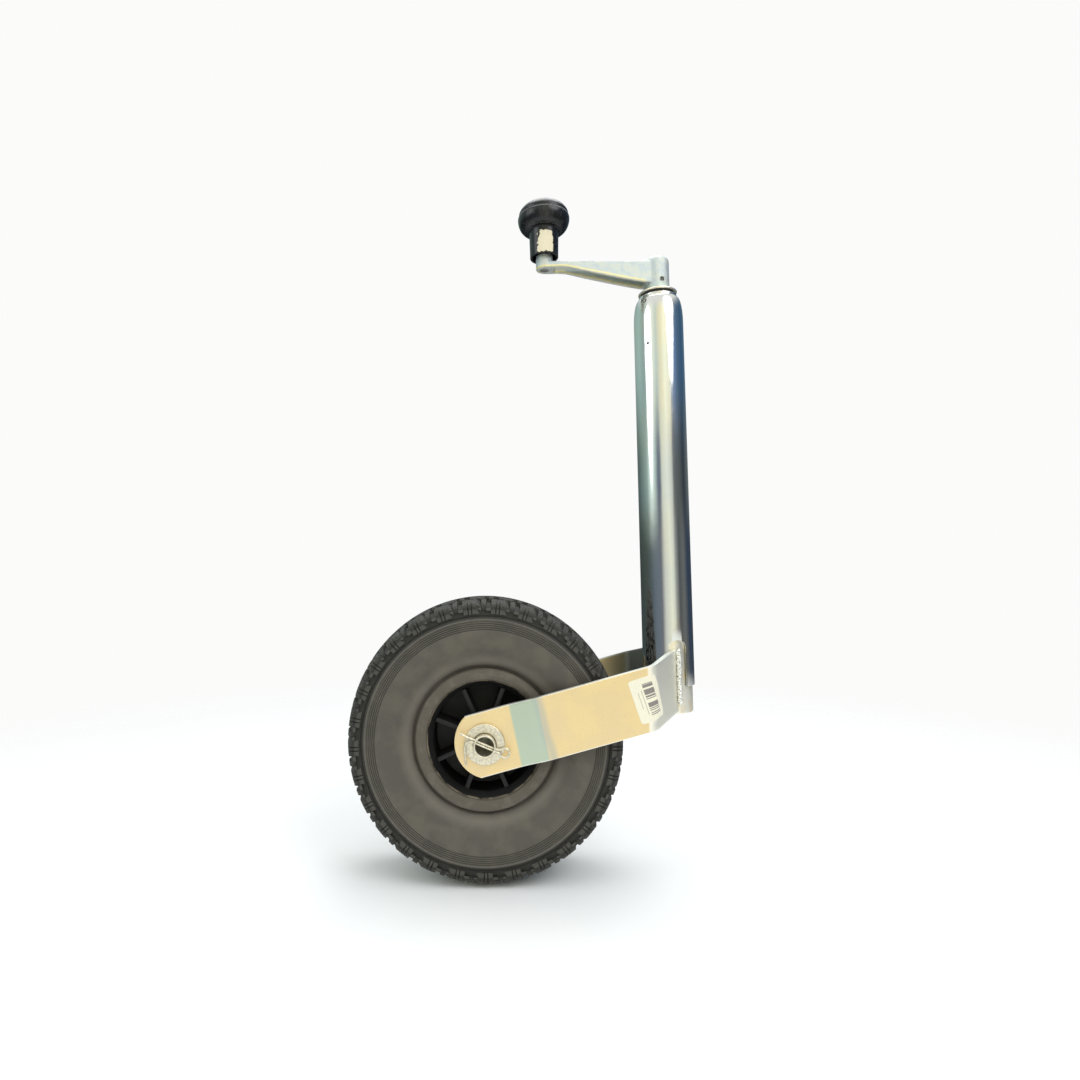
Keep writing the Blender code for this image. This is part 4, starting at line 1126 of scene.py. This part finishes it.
# A lighter ring on the sidewall's bulge near the rim is a painted highlight.
bulge_highlight = radius.band(69 * MM, 76 * MM, 5 * MM)
tint = rubber.mix(bulge_highlight * 0.5, tint, (0.20, 0.18, 0.15))
# Dark rings in the grooves between the fine sidewall ribs are painted shade.
wave = rubber.add("Math", {"operation": "COSINE"}, {0: (radius - 108.2 * MM) * (math.tau / (1.8 * MM))})
groove_shade = wave.step(-0.3, 0.7) * radius.band(99.8 * MM, 108.6 * MM, 0.3 * MM)
tint = rubber.mix(groove_shade * 0.7, tint, (0.030, 0.028, 0.024))
ridge = radius.band(109.6 * MM, 110.6 * MM, 0.4 * MM)
tint = rubber.mix(ridge * 0.5, tint, (0.16, 0.15, 0.13))
lugs = rubber.axis("Y", place)
proud = abs(lugs).step(40.2 * MM, 40.6 * MM) * radius.step(112.5 * MM, 115.5 * MM)
tint = rubber.mix(proud * 0.6, tint, (0.085, 0.080, 0.070))
scuffed = radius.step(120 * MM, 126 * MM) * fine.step(0.45, 0.62)
tint = rubber.mix(scuffed * 0.6, tint, (0.165, 0.155, 0.135))
rubber.feed("Base Color", rubber.mix(fine.step(0.62, 0.74) * 0.25, tint, (0.17, 0.160, 0.14)))
rubber.feed("Roughness", 0.62 + dust * 0.2 - shoulder * 0.08)
rubber.relief(fine * (0.10 * MM))
tyre = show("tyre_cover", shape, rubber, 28)
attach(tyre, "wheel")
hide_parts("tyre")

butyl = Finish("butyl_rubber")
bloom = butyl.grain(6 * MM, 4)
butyl.feed("Base Color", butyl.mix(bloom.step(0.4, 0.7), (0.012, 0.012, 0.012), (0.045, 0.043, 0.040)))
butyl.feed("Roughness", 0.5 + bloom * 0.25)
butyl.relief(bloom * (0.1 * MM))
for node in ("air_tube", "valve_stem"):
    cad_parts[node].data.materials[0] = butyl.material

# ------------------------------------------------------------------------------------ floor and light
# A pale round floor under the wheel that fades into a plain pale backdrop. The polished column mirrors
# three rings of cards, one above another: warm white in front, grey green to the left, dark blue to the
# right, and darker low down.
FLOOR_R = 1.3
floor_shape = bmesh.new()
bmesh.ops.create_circle(floor_shape, cap_ends=True, segments=96, radius=FLOOR_R)
floor_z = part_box("tyre")[0].z - 0.5 * MM
bmesh.ops.translate(floor_shape, vec=(hub.x, 0, floor_z), verts=floor_shape.verts)
pale = Finish("pale_floor", Roughness=0.75)
local = pale.at(Location=(hub.x, 0, floor_z))
reach = pale.add("VectorMath", {"operation": "LENGTH"}, {0: local}, out="Value")
pale.feed("Base Color", pale.mix(pale.grain(0.2, 2).step(0.3, 0.7), (0.90, 0.90, 0.89), (0.92, 0.92, 0.91)))
pale.feed("Alpha", 1 - reach.step(0.35, FLOOR_R * 0.92))
floor = show("floor", floor_shape, pale)

world = bpy.data.worlds.new("studio")
bpy.context.scene.world = world
sky = Nodes(world)
way = sky.add("TexCoord", {}, {}, out="Generated")
east = sky.axis("X", way)
north = sky.axis("Y", way)
up = sky.axis("Z", way)
round_about = sky.add("Math", {"operation": "ARCTAN2"}, {0: east, 1: north * -1.0}) * (1 / math.tau) + 0.5


def card(degrees, *colour):
    """A stop of a ring of cards, by its bearing from the near side towards +X."""
    return ((degrees + 180) / 360, colour)


high_cards = [
    card(-180, 0.30, 0.42, 0.42), card(-162, 0.37, 0.48, 0.46), card(-120, 0.44, 0.63, 0.60),
    card(-92, 0.38, 0.48, 0.46), card(-78, 0.55, 0.65, 0.62), card(-69, 1.0, 1.15, 1.08),
    card(-49, 1.1, 1.18, 1.07), card(-29, 0.74, 0.85, 0.81), card(-10, 1.1, 1.02, 0.72),
    card(9, 1.37, 1.34, 1.04), card(31, 1.15, 1.1, 0.88), card(38, 0.35, 0.42, 0.55),
    card(51, 0.23, 0.34, 0.58), card(75, 0.10, 0.18, 0.31), card(107, 0.05, 0.12, 0.23),
    card(150, 0.12, 0.20, 0.28), card(180, 0.30, 0.42, 0.42),
]
middle_cards = [
    card(-180, 0.12, 0.16, 0.16), card(-149, 0.12, 0.17, 0.17), card(-115, 0.23, 0.32, 0.31),
    card(-90, 0.39, 0.51, 0.49), card(-72, 1.0, 1.2, 1.15), card(-62, 0.95, 1.12, 1.08),
    card(-49, 0.63, 0.75, 0.71), card(-36, 0.19, 0.22, 0.28), card(-27, 0.18, 0.21, 0.27),
    card(-18, 0.85, 0.86, 0.76), card(-13, 0.94, 0.95, 0.82), card(5, 1.06, 1.09, 0.97),
    card(26, 0.80, 0.80, 0.72), card(36, 0.20, 0.21, 0.22), card(44, 0.16, 0.17, 0.17),
    card(66, 0.115, 0.13, 0.135), card(92, 0.04, 0.05, 0.07), card(133, 0.16, 0.19, 0.21),
    card(180, 0.12, 0.16, 0.16),
]
low_cards = [
    card(-180, 0.05, 0.065, 0.065), card(-130, 0.06, 0.08, 0.08), card(-102, 0.075, 0.095, 0.09),
    card(-80, 0.11, 0.14, 0.155), card(-60, 0.17, 0.20, 0.24), card(-41, 0.19, 0.22, 0.26),
    card(-32, 0.22, 0.22, 0.25), card(-24, 0.55, 0.55, 0.51), card(-15, 0.85, 0.84, 0.74),
    card(-6, 0.94, 0.93, 0.80), card(12, 1.1, 1.1, 0.9), card(24, 0.9, 0.9, 0.78),
    card(32, 0.45, 0.46, 0.43), card(50, 0.11, 0.115, 0.12), card(73, 0.18, 0.19, 0.19),
    card(101, 0.045, 0.065, 0.115), card(180, 0.05, 0.065, 0.065),
]
ring_high = sky.add("ValToRGB", {"stops": high_cards}, {0: round_about})
ring_middle = sky.add("ValToRGB", {"stops": middle_cards}, {0: round_about})
ring_low = sky.add("ValToRGB", {"stops": low_cards}, {0: round_about})
cards = sky.mix(up.step(0.02, 0.13), ring_low, ring_middle)
cards = sky.mix(up.step(0.15, 0.31), cards, ring_high)
cards = sky.mix(up.step(0.45, 0.75), cards, (0.95, 0.97, 1.0))
lit = sky.add("Background", {}, {"Color": cards, "Strength": 1.0})
plain = sky.add("Background", {}, {"Color": (0.965, 0.965, 0.96, 1), "Strength": 1.0})
seen = sky.add("LightPath", {}, {}, out="Is Camera Ray")
both = sky.add("MixShader", {}, {0: seen, 1: lit, 2: plain})
sky.tree.links.new(both.socket, sky.tree.nodes["World Output"].inputs["Surface"])


def softbox(name, place, target, size, watts, colour=(1, 1, 1)):
    """A round area light that faces the target."""
    light = bpy.data.lights.new(name, "AREA")
    light.shape = "DISK"
    light.size = size
    light.energy = watts
    light.color = colour
    lamp = bpy.data.objects.new(name, light)
    bpy.context.scene.collection.objects.link(lamp)
    lamp.location = place
    lamp.rotation_euler = (Vector(target) - Vector(place)).to_track_quat("-Z", "Y").to_euler()


softbox("key", (0.95, -1.15, 1.35), (-0.1, 0, 0.1), 1.3, 16, (0.96, 0.98, 1.0))
softbox("fill", (-1.6, -0.7, 0.9), (-0.1, 0, 0.1), 1.0, 5, (0.93, 0.97, 1.0))
softbox("top", (0.0, 0.3, 1.7), (-0.1, 0, 0.1), 1.2, 10)
